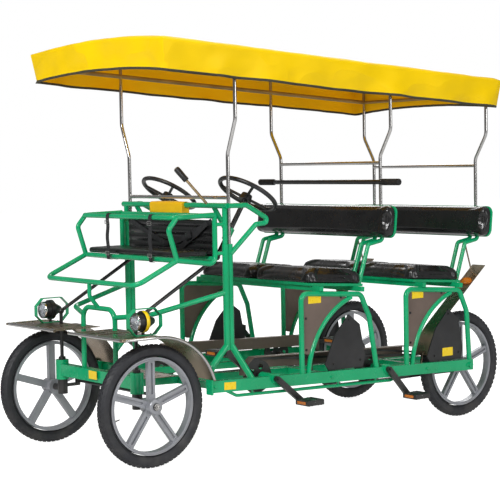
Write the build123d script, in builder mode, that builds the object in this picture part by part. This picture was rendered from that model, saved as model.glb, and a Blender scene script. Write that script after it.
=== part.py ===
"""A four wheeled, four seat surrey bike with a canopy, in millimetres.

The bike faces minus Y, plus X is its left hand side and plus Z is up.
The origin lies on the ground, midway between the wheels.
"""

import os
from math import asin, atan2, cos, hypot, pi, radians, sin, sqrt, tan

from build123d import *

os.makedirs("parts", exist_ok=True)

# Wheels
WHEELBASE = 1820
FRONT_TRACK = 800
REAR_TRACK = 788
TYRE_DIAMETER = 514
TYRE_WIDTH = 54
RIM_DIAMETER = 418
RIM_WIDTH = 34
RIM_DEPTH = 20
HUB_WIDTH = 72
HUB_DIAMETER = 64
SPOKE_COUNT = 5
SPOKE_WIDTH = 32
SPOKE_THICKNESS = 22
RUN_GAP = 0.3

# Chassis
RAKE = 2.05
RAIL_SPREAD = 904
RAIL_WIDTH = 30
RAIL_HEIGHT = 50
RAIL_FRONT = -640
RAIL_OVERHANG = 22
AXLE_DIAMETER = 24
CENTRE_SPREAD = 330
CENTRE_TUBE = 30
CROSS_TUBE = 30

# Front axle and steering
KINGPIN_SPREAD = 600
KINGPIN_DIAMETER = 18
HOUSING_DIAMETER = 58
HOUSING_HEIGHT = 88
HOUSING_BASE = 298
CRANK_RISE = 14
BEAM_HEIGHT = 52
BEAM_DEPTH = 40
STUB_DIAMETER = 20
STEER_ARM = 78
STEER_ANGLE = 24
TIE_ROD = 14
SHAFT_DIAMETER = 16
STEERING_TILT = 33
STEERING_RADIUS = 133
STEERING_RIM = 20
STEERING_X = 300
STEERING_Y = -306
STEERING_Z = 1115
JOINT_RADIUS = 14
LOWER_JOINT_Z = 604

# Cranks and drive
FRONT_CRANK_Y = -304
REAR_CRANK_Y = 360
CRANK_ARM = 170
CRANK_THICKNESS = 16
SPINDLE = 22
SHELL_DIAMETER = 44
RING_RADIUS = 72
SPROCKET_RADIUS = 38
PEDAL_LENGTH = 92
PEDAL_WIDTH = 88
PEDAL_HEIGHT = 24
OUTER_ARM_X = 482
INNER_ARM_X = 306
FRONT_CHAIN_X = 349
REAR_CHAIN_X = 335
CHAIN_WIDTH = 8
CHAIN_HEIGHT = 9

# Tubes
MAIN_TUBE = 28
SEAT_TUBE = 24
BASKET_TUBE = 22
POST_TUBE = 16
GUARD_TUBE = 14

# Front upright frames and dash
UPRIGHT_X = 380
UPRIGHT_Y = -484
UPRIGHT_TOP = 905
DASH_Z = 1069
DASH_Y = -496

# Basket for two children
BASKET_HALF = 360
BASKET_FRONT = -750
BASKET_BACK = -535
BASKET_TOP = 1026
BASKET_FLOOR = 846
LOW_BAR_Y = -945
LOW_BAR_Z = 753

# Benches
BENCH_PITCH = 638
BENCH_DROP = 23
SEAT_HALF = 420
SEAT_FRONT = -66
SEAT_DEPTH = 346
SEAT_THICKNESS = 58
SEAT_BOTTOM = 712
SEAT_TILT = 4
BACK_HALF = 486
BACK_Y = 345
BACK_BOTTOM = 902
BACK_HEIGHT = 144
BACK_THICKNESS = 48
BACK_TILT = 6

# Roof
POST_LOW_HALF = 365
POST_HIGH_HALF = 438
FRONT_POST_Y = -474
BENCH_POST_Y = 429
ROOF_HALF = 530
ROOF_FRONT = -905
ROOF_BACK = 1086
ROOF_FRONT_Z = 1768
ROOF_FALL = 0.0675
ROOF_CROWN = 26
ROOF_SHOULDER = 18
SKIRT = 146
CLOTH = 4

# Front wings
WING_OUTER = 472
WING_INNER = 56
WING_FRONT = -1088
WING_RADIUS = 288
WING_SHEET = 3
GUARD_INNER = 262

wheel_radius = TYRE_DIAMETER / 2
front_y = -WHEELBASE / 2
rear_y = WHEELBASE / 2
axle_z = wheel_radius
rail_x = RAIL_SPREAD / 2
rail_out = rail_x + RAIL_WIDTH / 2
rail_in = rail_x - RAIL_WIDTH / 2
slope = tan(radians(RAKE))
kingpin_x = KINGPIN_SPREAD / 2
centre_x = CENTRE_SPREAD / 2
housing_top = HOUSING_BASE + HOUSING_HEIGHT
beam_z = HOUSING_BASE + HOUSING_HEIGHT / 2
rear_post_y = BENCH_POST_Y + BENCH_PITCH
lower_joint = Vector(kingpin_x, front_y, LOWER_JOINT_Z)
nodes = {}


def rail_z(y):
    """Height of the sloping side rails' centre line at y."""
    return axle_z + (rear_y - y) * slope


def crank_z(y):
    """Height of the crank spindle at y, a little above the rail's centre."""
    return rail_z(y) + CRANK_RISE


def roof_z(y):
    """Height of the canopy's side edges at y."""
    return ROOF_FRONT_Z - (y - ROOF_FRONT) * ROOF_FALL


def tube(points, size, bend=40):
    """A round bar along straight runs joined by arcs."""
    with BuildPart() as made:
        with BuildLine() as path:
            if len(points) > 2:
                FilletPolyline(*points, radius=bend)
            else:
                Line(*points)
        with BuildSketch(Plane(origin=path.line @ 0, z_dir=path.line % 0)):
            Circle(size / 2)
        sweep()
    return made.part


def cylinder_x(radius, x0, x1, y, z):
    """A round bar along X from x0 to x1."""
    with BuildPart() as made:
        with BuildSketch(Plane.YZ.offset(x0)):
            with Locations((y, z)):
                Circle(radius)
        extrude(amount=x1 - x0)
    return made.part


def block(low, high, rounding=0):
    """A box between two corners, its edges rounded."""
    size = [b - a for a, b in zip(low, high)]
    middle = tuple((a + b) / 2 for a, b in zip(low, high))
    with BuildPart() as made:
        with Locations(middle):
            Box(*size)
        if rounding:
            fillet(made.edges(), rounding)
    return made.part


def side_shape(outline, x0, x1):
    """A flat piece cut in the YZ plane, from x0 to x1."""
    with BuildPart() as made:
        with BuildSketch(Plane.YZ.offset(x0)):
            Polygon(*outline, align=None)
        extrude(amount=x1 - x0)
    return made.part


def keep(made, name):
    """Names a finished piece and stores it for writing."""
    made.part.label = name
    nodes[name] = made


def wheel_rim(x, y, side, bore, sprockets):
    """A cast wheel with five twin ribbed spokes."""
    inner = RIM_DIAMETER / 2 - RIM_DEPTH
    with BuildPart() as rim:
        with BuildSketch(Plane.XY):
            with Locations((inner + RIM_DEPTH / 2, 0)):
                Rectangle(RIM_DEPTH, RIM_WIDTH)
            with Locations((RIM_DIAMETER / 2, 0)):
                Circle(TYRE_WIDTH / 2 - 9, mode=Mode.SUBTRACT)
        revolve(axis=Axis.Y)
        with BuildSketch(Plane.XZ.offset(-HUB_WIDTH / 2)):
            Circle(HUB_DIAMETER / 2)
        extrude(amount=HUB_WIDTH)
        reach = inner + 1
        with BuildSketch(Plane.XZ.offset(-SPOKE_THICKNESS / 2)):
            with PolarLocations(0, SPOKE_COUNT, start_angle=90):
                with Locations((reach / 2, 0)):
                    Rectangle(reach, SPOKE_WIDTH)
            Circle(HUB_DIAMETER / 4, mode=Mode.SUBTRACT)
        extrude(amount=SPOKE_THICKNESS)
        with BuildSketch(Plane.XZ.offset(-SPOKE_THICKNESS / 2)):
            with PolarLocations(0, SPOKE_COUNT, start_angle=90):
                with Locations((HUB_DIAMETER / 2 + reach / 2 - 12, 0)):
                    SlotOverall(reach - HUB_DIAMETER / 2 - 26, SPOKE_WIDTH / 3)
        extrude(amount=SPOKE_THICKNESS * 0.3, mode=Mode.SUBTRACT)
        if sprockets:
            for chain_x in (REAR_CHAIN_X, FRONT_CHAIN_X):
                start = x - chain_x - 2
                with BuildSketch(Plane.XZ.offset(start)):
                    Circle(SPROCKET_RADIUS)
                extrude(amount=4)
            with BuildSketch(Plane.XZ.offset(HUB_WIDTH / 2)):
                Circle(SPROCKET_RADIUS * 0.6)
            extrude(amount=x - REAR_CHAIN_X + 3 - HUB_WIDTH / 2)
        with BuildSketch(Plane.XZ.offset(-HUB_WIDTH)):
            Circle(bore / 2 + RUN_GAP)
        extrude(amount=HUB_WIDTH * 2, mode=Mode.SUBTRACT)
    turned = rim.part.rotate(Axis.Z, -90)
    if side < 0:
        turned = turned.mirror(Plane.YZ)
    return turned.moved(Location((side * x, y, axle_z)))


def wheel_tyre(x, y, side):
    """A rounded tyre seated on its rim."""
    centre = wheel_radius - TYRE_WIDTH / 2
    with BuildPart() as tyre:
        with BuildSketch(Plane.XY):
            with Locations((centre, 0)):
                Circle(TYRE_WIDTH / 2)
            with Locations((RIM_DIAMETER / 2 - 30, 0)):
                Rectangle(60, TYRE_WIDTH, mode=Mode.SUBTRACT)
            with Locations((RIM_DIAMETER / 2, 0)):
                Circle(TYRE_WIDTH / 2 - 9, mode=Mode.SUBTRACT)
        with BuildSketch(Plane.XY):
            with Locations((RIM_DIAMETER / 2, 0)):
                Circle(TYRE_WIDTH / 2 - 9)
        revolve(axis=Axis.Y)
    turned = tyre.part.rotate(Axis.Z, -90)
    return turned.moved(Location((side * x, y, axle_z)))


SIDES = (("left", 1), ("right", -1))
AXLES = (
    ("front", front_y, FRONT_TRACK / 2, STUB_DIAMETER),
    ("rear", rear_y, REAR_TRACK / 2, AXLE_DIAMETER),
)

for end, y, x, bore in AXLES:
    for hand, side in SIDES:
        with BuildPart() as piece:
            add(wheel_rim(x, y, side, bore, end == "rear"))
        keep(piece, f"{end}_{hand}_rim")
        with BuildPart() as piece:
            add(wheel_tyre(x, y, side))
        keep(piece, f"{end}_{hand}_tyre")

# Side rails with their front plates and rear axle ends
rail_back = rear_y + RAIL_OVERHANG
half = RAIL_HEIGHT / 2
with BuildPart() as side_rails:
    rail_line = [
        (RAIL_FRONT, rail_z(RAIL_FRONT) - half),
        (rail_back, rail_z(rail_back) - half),
        (rail_back, rail_z(rail_back) + half),
        (RAIL_FRONT, rail_z(RAIL_FRONT) + half),
    ]
    add(side_shape(rail_line, rail_in, rail_out))
    front_plate = [
        (RAIL_FRONT - 8, rail_z(RAIL_FRONT) - half - 8),
        (RAIL_FRONT, rail_z(RAIL_FRONT) - half - 8),
        (RAIL_FRONT, rail_z(RAIL_FRONT) + half + 6),
        (RAIL_FRONT - 8, rail_z(RAIL_FRONT) + half + 6),
    ]
    add(side_shape(front_plate, rail_in - 6, rail_out + 4))
    add(cylinder_x(13, rail_out, rail_out + 10, rear_y, axle_z))
    for crank_y in (FRONT_CRANK_Y, REAR_CRANK_Y):
        add(cylinder_x(SHELL_DIAMETER / 2, rail_in - 60, rail_out + 6, crank_y, crank_z(crank_y)))
    for crank_y in (FRONT_CRANK_Y, REAR_CRANK_Y):
        bore = cylinder_x(SPINDLE / 2 + RUN_GAP, rail_in - 80, rail_out + 20, crank_y, crank_z(crank_y))
        add(bore, mode=Mode.SUBTRACT)
    mirror(about=Plane.YZ)
keep(side_rails, "side_rails")

# Cross members and the two centre tubes
CROSS_YS = (-600, 22, 618)
with BuildPart() as centre_frame:
    for y in CROSS_YS:
        half_cross = CROSS_TUBE / 2
        low_corner = (-rail_in, y - half_cross, rail_z(y) - half_cross)
        high_corner = (rail_in, y + half_cross, rail_z(y) + half_cross)
        add(block(low_corner, high_corner))
    half_centre = CENTRE_TUBE / 2
    for side in (1, -1):
        start = front_y + BEAM_DEPTH / 2
        end = rear_y - 20
        add(
            side_shape(
                [
                    (start, rail_z(start) - half_centre),
                    (end, rail_z(end) - half_centre),
                    (end, rail_z(end) + half_centre),
                    (start, rail_z(start) + half_centre),
                ],
                side * centre_x - half_centre,
                side * centre_x + half_centre,
            )
        )
    rear_tie_y = rear_y - 20 - CENTRE_TUBE
    low_corner = (-centre_x, rear_tie_y, rail_z(rear_y) - half_centre)
    high_corner = (centre_x, rear_tie_y + CENTRE_TUBE, rail_z(rear_y) + half_centre)
    add(block(low_corner, high_corner))
keep(centre_frame, "centre_frame")

with BuildPart() as rear_axle:
    add(cylinder_x(AXLE_DIAMETER / 2, -rail_in, rail_in, rear_y, axle_z))
    for side in (1, -1):
        low_corner = (side * centre_x - 12, rear_y - 20, axle_z - 18)
        high_corner = (side * centre_x + 12, rear_y + 18, axle_z + 18)
        add(block(low_corner, high_corner))
keep(rear_axle, "rear_axle")

# Front axle beam with its kingpin housings
with BuildPart() as front_axle:
    reach = kingpin_x
    add(
        block(
            (-reach, front_y - BEAM_DEPTH / 2, beam_z - BEAM_HEIGHT / 2),
            (reach, front_y + BEAM_DEPTH / 2, beam_z + BEAM_HEIGHT / 2),
        )
    )
    for side in (1, -1):
        with Locations((side * kingpin_x, front_y, beam_z)):
            Cylinder(HOUSING_DIAMETER / 2, HOUSING_HEIGHT)
    for side in (1, -1):
        with Locations((side * kingpin_x, front_y, beam_z)):
            Cylinder(KINGPIN_DIAMETER / 2 + RUN_GAP, HOUSING_HEIGHT, mode=Mode.SUBTRACT)
    add(centre_frame.part, mode=Mode.SUBTRACT)
keep(front_axle, "front_axle")

# Steering knuckles with stub axles and arms
ARM_Y = front_y + STEER_ARM
KNUCKLE_TOP = HOUSING_BASE - RUN_GAP
hub_in = FRONT_TRACK / 2 - HUB_WIDTH / 2
hub_out = FRONT_TRACK / 2 + HUB_WIDTH / 2
for hand, side in SIDES:
    with BuildPart() as knuckle:
        add(cylinder_x(STUB_DIAMETER / 2, kingpin_x, hub_out + 12, front_y, axle_z))
        add(cylinder_x(15, kingpin_x, hub_in - RUN_GAP, front_y, axle_z))
        add(cylinder_x(15, hub_out + RUN_GAP, hub_out + 9, front_y, axle_z))
        with Locations((kingpin_x, front_y, (KNUCKLE_TOP + 232) / 2)):
            Cylinder(22, KNUCKLE_TOP - 232)
        with Locations((kingpin_x, front_y, (KNUCKLE_TOP + housing_top + 18) / 2)):
            Cylinder(KINGPIN_DIAMETER / 2, housing_top + 18 - KNUCKLE_TOP)
        with Locations((kingpin_x, front_y, housing_top + RUN_GAP + 6)):
            Cylinder(16, 12)
        with BuildSketch(Plane.XY.offset(262)):
            with Locations((kingpin_x, (front_y + ARM_Y) / 2)):
                SlotOverall(STEER_ARM + 24, 24, rotation=90)
        extrude(amount=12)
        add(tube([(kingpin_x, front_y, housing_top + 10), tuple(lower_joint)], SHAFT_DIAMETER))
        with Locations(tuple(lower_joint)):
            Sphere(JOINT_RADIUS)
        if side < 0:
            mirror(about=Plane.YZ, mode=Mode.REPLACE)
    keep(knuckle, f"{hand}_knuckle")

tie_z = 274 + RUN_GAP
with BuildPart() as tie_rod:
    add(cylinder_x(TIE_ROD / 2, -kingpin_x, kingpin_x, ARM_Y, tie_z + 9))
    for side in (1, -1):
        with Locations((side * kingpin_x, ARM_Y, tie_z + 9)):
            Cylinder(12, 18)
keep(tie_rod, "tie_rod")

# Upright frames, with their forked feet
FORK_Z = 470
FORK_GAP = 11
FRONT_FOOT_Y = -578
REAR_FOOT_Y = -408
with BuildPart() as uprights:
    for gap in (-FORK_GAP, FORK_GAP):
        leg_y = UPRIGHT_Y + gap
        add(tube([(UPRIGHT_X, leg_y, FORK_Z - 20), (UPRIGHT_X, leg_y, UPRIGHT_TOP)], MAIN_TUBE))
    front_foot = (UPRIGHT_X, CROSS_YS[0], rail_z(CROSS_YS[0]))
    fork_top = (UPRIGHT_X, UPRIGHT_Y - FORK_GAP, FORK_Z)
    add(tube([fork_top, (UPRIGHT_X, FRONT_FOOT_Y, 385), front_foot], MAIN_TUBE, 60))
    rear_foot = (rail_x - 6, REAR_FOOT_Y, rail_z(REAR_FOOT_Y) + 10)
    add(tube([(UPRIGHT_X, UPRIGHT_Y + FORK_GAP, FORK_Z), rear_foot], MAIN_TUBE))
    mirror(about=Plane.YZ)
    add(side_rails.part, mode=Mode.SUBTRACT)
    add(centre_frame.part, mode=Mode.SUBTRACT)
keep(uprights, "uprights")

# Hoop over the front axle, with its stays back to the uprights
HOOP_HALF = 127
HOOP_TOP = 635
HOOP_Y = front_y + 10
STAY_Z = 602
with BuildPart() as front_hoop:
    foot = beam_z + BEAM_HEIGHT / 2
    corners = [(-HOOP_HALF, foot), (-HOOP_HALF, HOOP_TOP), (HOOP_HALF, HOOP_TOP), (HOOP_HALF, foot)]
    add(tube([(x, HOOP_Y, z) for x, z in corners], BASKET_TUBE, 52))
    for side in (1, -1):
        add(
            tube(
                [
                    (side * HOOP_HALF, HOOP_Y, STAY_Z),
                    (side * 300, HOOP_Y + 62, STAY_Z + 18),
                    (side * UPRIGHT_X, UPRIGHT_Y - FORK_GAP, 698),
                ],
                BASKET_TUBE,
                60,
            )
        )
    add(uprights.part, mode=Mode.SUBTRACT)
keep(front_hoop, "front_hoop")

# Steering column line, from the hub of each wheel down to its joint
tilt = radians(STEERING_TILT)
column_down = Vector(0, -sin(tilt), -cos(tilt))
wheel_centre = Vector(STEERING_X, STEERING_Y, STEERING_Z)
COLUMN_LENGTH = 322
upper_joint = wheel_centre + column_down * COLUMN_LENGTH
COLUMN_DIAMETER = 22
SLEEVE_AT = 178
SLEEVE_LENGTH = 56

# Dash tube, the knee loops behind it and the column sleeves
LOOP_X = 403
sleeve_top = wheel_centre + column_down * SLEEVE_AT
sleeve_end = wheel_centre + column_down * (SLEEVE_AT + SLEEVE_LENGTH)
sleeve_middle = wheel_centre + column_down * (SLEEVE_AT + SLEEVE_LENGTH / 2)
with BuildPart() as dash_frame:
    loop = [
        (LOOP_X, DASH_Y, DASH_Z),
        (LOOP_X, -395, DASH_Z),
        (LOOP_X, -252, 992),
        (LOOP_X, -345, 985),
        (UPRIGHT_X + 6, UPRIGHT_Y + FORK_GAP, 862),
    ]
    add(tube([(-LOOP_X, DASH_Y, DASH_Z), (LOOP_X, DASH_Y, DASH_Z)], SEAT_TUBE))
    add(tube(loop, BASKET_TUBE, 14))
    add(tube([(UPRIGHT_X, DASH_Y, UPRIGHT_TOP - 20), (UPRIGHT_X, DASH_Y, DASH_Z)], BASKET_TUBE))
    add(tube([(STEERING_X, DASH_Y, DASH_Z), tuple(sleeve_middle)], BASKET_TUBE))
    add(tube([tuple(sleeve_top), tuple(sleeve_end)], COLUMN_DIAMETER + 14))
    bore = tube([tuple(wheel_centre), tuple(upper_joint)], COLUMN_DIAMETER + 2 * RUN_GAP)
    add(bore, mode=Mode.SUBTRACT)
    mirror(about=Plane.YZ)
    add(uprights.part, mode=Mode.SUBTRACT)
keep(dash_frame, "dash_frame")

# Basket frame for the child seat, carried in front of the uprights
GUSSET_Y = -735
BASKET_DROP = 820
with BuildPart() as basket_frame:
    top = [
        (0, BASKET_FRONT, BASKET_TOP),
        (BASKET_HALF, BASKET_FRONT, BASKET_TOP),
        (BASKET_HALF, BASKET_BACK, BASKET_TOP + 5),
    ]
    add(tube(top, BASKET_TUBE, 34))
    post = [
        (BASKET_HALF, BASKET_FRONT + 16, BASKET_TOP - 2),
        (BASKET_HALF, BASKET_FRONT - 26, BASKET_TOP - 50),
        (BASKET_HALF, GUSSET_Y, BASKET_FLOOR),
    ]
    add(tube(post, BASKET_TUBE, 24))
    floor = [
        (BASKET_HALF, GUSSET_Y, BASKET_FLOOR),
        (BASKET_HALF, BASKET_BACK, BASKET_DROP),
        (BASKET_HALF, BASKET_BACK, BASKET_TOP + 5),
    ]
    add(tube(floor, BASKET_TUBE, 30))
    low = [
        (0, LOW_BAR_Y, LOW_BAR_Z),
        (BASKET_HALF + 4, LOW_BAR_Y, LOW_BAR_Z),
        (BASKET_HALF, GUSSET_Y, BASKET_FLOOR),
    ]
    add(tube(low, BASKET_TUBE, 44))
    for y, z in ((GUSSET_Y, BASKET_FLOOR), (BASKET_BACK, BASKET_DROP + 22), (BASKET_BACK, BASKET_TOP)):
        add(tube([(0, y, z), (BASKET_HALF, y, z)], BASKET_TUBE))
    for z in (866, 990):
        link_end = (UPRIGHT_X, UPRIGHT_Y - FORK_GAP, z) if z < UPRIGHT_TOP else (UPRIGHT_X, DASH_Y, z)
        add(tube([(BASKET_HALF, BASKET_BACK, z), link_end], 16))
    mirror(about=Plane.YZ)
    add(tube([(0, LOW_BAR_Y, LOW_BAR_Z), (0, LOW_BAR_Y, 690), (0, HOOP_Y, HOOP_TOP)], 18, 22))
    add(uprights.part, mode=Mode.SUBTRACT)
    add(dash_frame.part, mode=Mode.SUBTRACT)
    add(front_hoop.part, mode=Mode.SUBTRACT)
keep(basket_frame, "basket_frame")

# Child seat: back pad, cushion and harness
pad_front = BASKET_BACK + BASKET_TUBE / 2 + RUN_GAP
CHILD_BACK_THICKNESS = 24
CHILD_HALF = 334
with BuildPart() as child_back:
    low_corner = (-CHILD_HALF, pad_front, BASKET_DROP + 14)
    high_corner = (CHILD_HALF, pad_front + CHILD_BACK_THICKNESS, 1008)
    add(block(low_corner, high_corner, 8))
    # Notches that let the steering shafts pass under the pad
    for x in (STEERING_X, -STEERING_X):
        notch_low = (x - 14, pad_front - 1, BASKET_DROP)
        notch_high = (x + 14, pad_front + CHILD_BACK_THICKNESS + 1, BASKET_DROP + 31)
        add(block(notch_low, notch_high), mode=Mode.SUBTRACT)
keep(child_back, "child_back")

CUSHION_BASE = BASKET_FLOOR + BASKET_TUBE / 2 + RUN_GAP
with BuildPart() as child_cushion:
    low_corner = (-CHILD_HALF - 4, GUSSET_Y - 6, CUSHION_BASE)
    high_corner = (CHILD_HALF + 4, BASKET_BACK - 12, CUSHION_BASE + 26)
    add(block(low_corner, high_corner, 9))
keep(child_cushion, "child_cushion")

STRAP_XS = (-143, 190)
STRAP_WIDTH = 26
STRAP_THICKNESS = 3
strap_y = BASKET_FRONT - BASKET_TUBE / 2 - RUN_GAP
with BuildPart() as child_straps:
    for x in STRAP_XS:
        bottom = (strap_y - STRAP_THICKNESS, BASKET_FLOOR - 12)
        top = (strap_y, BASKET_TOP + 8)
        add(block((x, bottom[0], bottom[1]), (x + STRAP_WIDTH, top[0], top[1])))
keep(child_straps, "child_straps")

# Front wings: flat decks that turn down behind the wheels
deck_z = axle_z + WING_RADIUS
WING_END_ANGLE = 17
EDGE_TUBE = 12
DECK_BACK = -858


def wheel_point(radius, angle, y=front_y):
    """A point of the YZ plane at a radius and angle about a wheel's centre."""
    return (y + radius * cos(radians(angle)), axle_z + radius * sin(radians(angle)))


wing_outer_radius = WING_RADIUS + WING_SHEET
wing_middle = (90 + WING_END_ANGLE) / 2
with BuildPart() as front_wings:
    add(block((WING_INNER, WING_FRONT, deck_z), (WING_OUTER, front_y, deck_z + WING_SHEET)))
    add(block((WING_INNER, front_y, deck_z), (GUARD_INNER, DECK_BACK, deck_z + WING_SHEET)))
    with BuildSketch(Plane.YZ.offset(GUARD_INNER)):
        with BuildLine():
            inside = [wheel_point(WING_RADIUS, a) for a in (90, wing_middle, WING_END_ANGLE)]
            outside = [wheel_point(wing_outer_radius, a) for a in (WING_END_ANGLE, wing_middle, 90)]
            ThreePointArc(*inside)
            Line(inside[-1], outside[0])
            ThreePointArc(*outside)
            Line(outside[-1], inside[0])
        make_face()
    extrude(amount=WING_OUTER - GUARD_INNER)
    edge_z = deck_z + WING_SHEET / 2
    with BuildLine() as edge:
        Line((WING_OUTER, WING_FRONT, edge_z), (WING_OUTER, front_y, edge_z))
        middle_point = wheel_point(WING_RADIUS + WING_SHEET / 2, wing_middle)
        end_point = wheel_point(WING_RADIUS + WING_SHEET / 2, WING_END_ANGLE)
        ThreePointArc((WING_OUTER, front_y, edge_z), (WING_OUTER, *middle_point), (WING_OUTER, *end_point))
    with BuildSketch(Plane(origin=edge.line @ 0, z_dir=edge.line % 0)):
        Circle(EDGE_TUBE / 2)
    sweep()
    add(tube([(WING_INNER, WING_FRONT, edge_z), (WING_OUTER, WING_FRONT, edge_z)], EDGE_TUBE))
    with Locations((WING_OUTER, WING_FRONT, edge_z)):
        Sphere(EDGE_TUBE / 2)
    with Locations((kingpin_x, front_y, deck_z)):
        Cylinder(JOINT_RADIUS + 8, 20, mode=Mode.SUBTRACT)
    mirror(about=Plane.YZ)
    add(front_hoop.part, mode=Mode.SUBTRACT)
keep(front_wings, "front_wings")

# Headlamps in their strip guards
LAMP_X = 373
LAMP_Y = -958
LAMP_Z = 606
LAMP_DIAMETER = 76
GUARD_STRIP = 24
GUARD_LENGTH = 165
GUARD_HEIGHT = 112
STRIP_THICKNESS = 3
guard_base = deck_z + WING_SHEET
guard_y = LAMP_Y + 43


with BuildPart() as lamp_guards:
    guard_centre = (LAMP_X, guard_y, guard_base + GUARD_HEIGHT / 2)
    with BuildSketch(Plane(origin=guard_centre, x_dir=(0, 1, 0), z_dir=(1, 0, 0))) as octagon:
        Rectangle(GUARD_LENGTH, GUARD_HEIGHT)
        chamfer(octagon.vertices(), GUARD_HEIGHT * 0.3)
        offset(amount=-STRIP_THICKNESS, mode=Mode.SUBTRACT)
    extrude(amount=GUARD_STRIP / 2, both=True)
    mirror(about=Plane.YZ)
keep(lamp_guards, "lamp_guards")

LENS_THICKNESS = 6
LAMP_BODY = 26
LAMP_BAND = 18
LAMP_BAND_RISE = 6
CONE_LENGTH = 44
with BuildPart() as headlamps:
    lamp_radius = LAMP_DIAMETER / 2
    with BuildSketch(Plane(origin=(LAMP_X, LAMP_Y, LAMP_Z), x_dir=(0, 1, 0), z_dir=(1, 0, 0))) as profile:
        with BuildLine():
            band_radius = lamp_radius + LAMP_BAND_RISE
            cone_start = LAMP_BODY + LAMP_BAND
            Polyline(
                (LENS_THICKNESS, 0),
                (LENS_THICKNESS, lamp_radius - 4),
                (0, lamp_radius - 4),
                (0, lamp_radius),
                (LAMP_BODY, lamp_radius),
                (LAMP_BODY, band_radius),
                (cone_start, band_radius),
                (cone_start, lamp_radius),
                (cone_start + CONE_LENGTH, lamp_radius / 3),
                (cone_start + CONE_LENGTH, 0),
                close=True,
            )
        make_face()
    revolve(axis=Axis((LAMP_X, LAMP_Y, LAMP_Z), (0, 1, 0)))
    foot_y = LAMP_Y + LAMP_BODY + LAMP_BAND / 2
    add(tube([(LAMP_X, foot_y, guard_base + STRIP_THICKNESS), (LAMP_X, foot_y, LAMP_Z - lamp_radius)], 14))
    mirror(about=Plane.YZ)
keep(headlamps, "headlamps")

with BuildPart() as lamp_lenses:
    with BuildSketch(Plane(origin=(LAMP_X, LAMP_Y - 2, LAMP_Z), x_dir=(1, 0, 0), z_dir=(0, 1, 0))):
        Circle(LAMP_DIAMETER / 2 - 4)
    extrude(amount=LENS_THICKNESS + 2)
    mirror(about=Plane.YZ)
keep(lamp_lenses, "lamp_lenses")

# Roof posts in pairs, each pair joined by a cross bar
POST_BEND_LOW = 1272
POST_BEND_HIGH = 1392
ROOF_TUBE = 20
ROOF_DROP = 74


def roof_tube_z(y):
    """Height of the roof frame's side tubes at y."""
    return roof_z(y) - ROOF_DROP


def post_pair(y, base, bar_z, bend_low, bend_high, low_half):
    """Two bent posts and the bar between them."""
    with BuildPart() as pair:
        post = [
            (low_half, y, base),
            (low_half, y, bend_low),
            (POST_HIGH_HALF, y, bend_high),
            (POST_HIGH_HALF, y, roof_tube_z(y)),
        ]
        add(tube(post, POST_TUBE, 60))
        mirror(about=Plane.YZ)
        add(tube([(-low_half, y, bar_z), (low_half, y, bar_z)], POST_TUBE))
    return pair.part


# The canopy's inner surface is an arc across the roof, and the bows follow it
crown_half = ROOF_HALF - CLOTH - ROOF_SHOULDER
crown_radius = (crown_half**2 + ROOF_CROWN**2) / (2 * ROOF_CROWN)
bow_radius = crown_radius - POST_TUBE / 2 - 2 * RUN_GAP
roof_ends = (ROOF_FRONT + 25, rear_post_y)
with BuildPart() as roof_frame:
    for side in (1, -1):
        x = side * POST_HIGH_HALF
        add(tube([(x, y, roof_tube_z(y)) for y in roof_ends], ROOF_TUBE))
    for y in (roof_ends[0], FRONT_POST_Y, BENCH_POST_Y, roof_ends[1]):
        centre_z = roof_z(y) - CLOTH + ROOF_CROWN - crown_radius
        bow_end_z = centre_z + sqrt(bow_radius**2 - POST_HIGH_HALF**2)
        with BuildLine() as bow:
            ThreePointArc(
                (-POST_HIGH_HALF, y, bow_end_z),
                (0, y, centre_z + bow_radius),
                (POST_HIGH_HALF, y, bow_end_z),
            )
        with BuildSketch(Plane(origin=bow.line @ 0, z_dir=bow.line % 0)):
            Circle(POST_TUBE / 2)
        sweep()
        for side in (1, -1):
            x = side * POST_HIGH_HALF
            add(tube([(x, y, roof_tube_z(y)), (x, y, bow_end_z)], POST_TUBE))
            with Locations((x, y, bow_end_z)):
                Sphere(POST_TUBE / 2)
    for y in roof_ends:
        add(tube([(-POST_HIGH_HALF, y, roof_tube_z(y)), (POST_HIGH_HALF, y, roof_tube_z(y))], POST_TUBE))
keep(roof_frame, "roof_frame")

with BuildPart() as front_posts:
    add(post_pair(FRONT_POST_Y, UPRIGHT_TOP, 1103, 1290, 1436, UPRIGHT_X))
    add(uprights.part, mode=Mode.SUBTRACT)
    add(dash_frame.part, mode=Mode.SUBTRACT)
    add(roof_frame.part, mode=Mode.SUBTRACT)
keep(front_posts, "front_posts")

POST_BASE = 940
BENCH_BAR_Z = 1240
with BuildPart() as bench_posts:
    add(post_pair(BENCH_POST_Y, POST_BASE, BENCH_BAR_Z, POST_BEND_LOW, POST_BEND_HIGH, POST_LOW_HALF))
    rear_heights = [z - BENCH_DROP for z in (POST_BASE, BENCH_BAR_Z, POST_BEND_LOW, POST_BEND_HIGH)]
    add(post_pair(rear_post_y, *rear_heights, POST_LOW_HALF))
    add(roof_frame.part, mode=Mode.SUBTRACT)
keep(bench_posts, "bench_posts")

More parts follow.
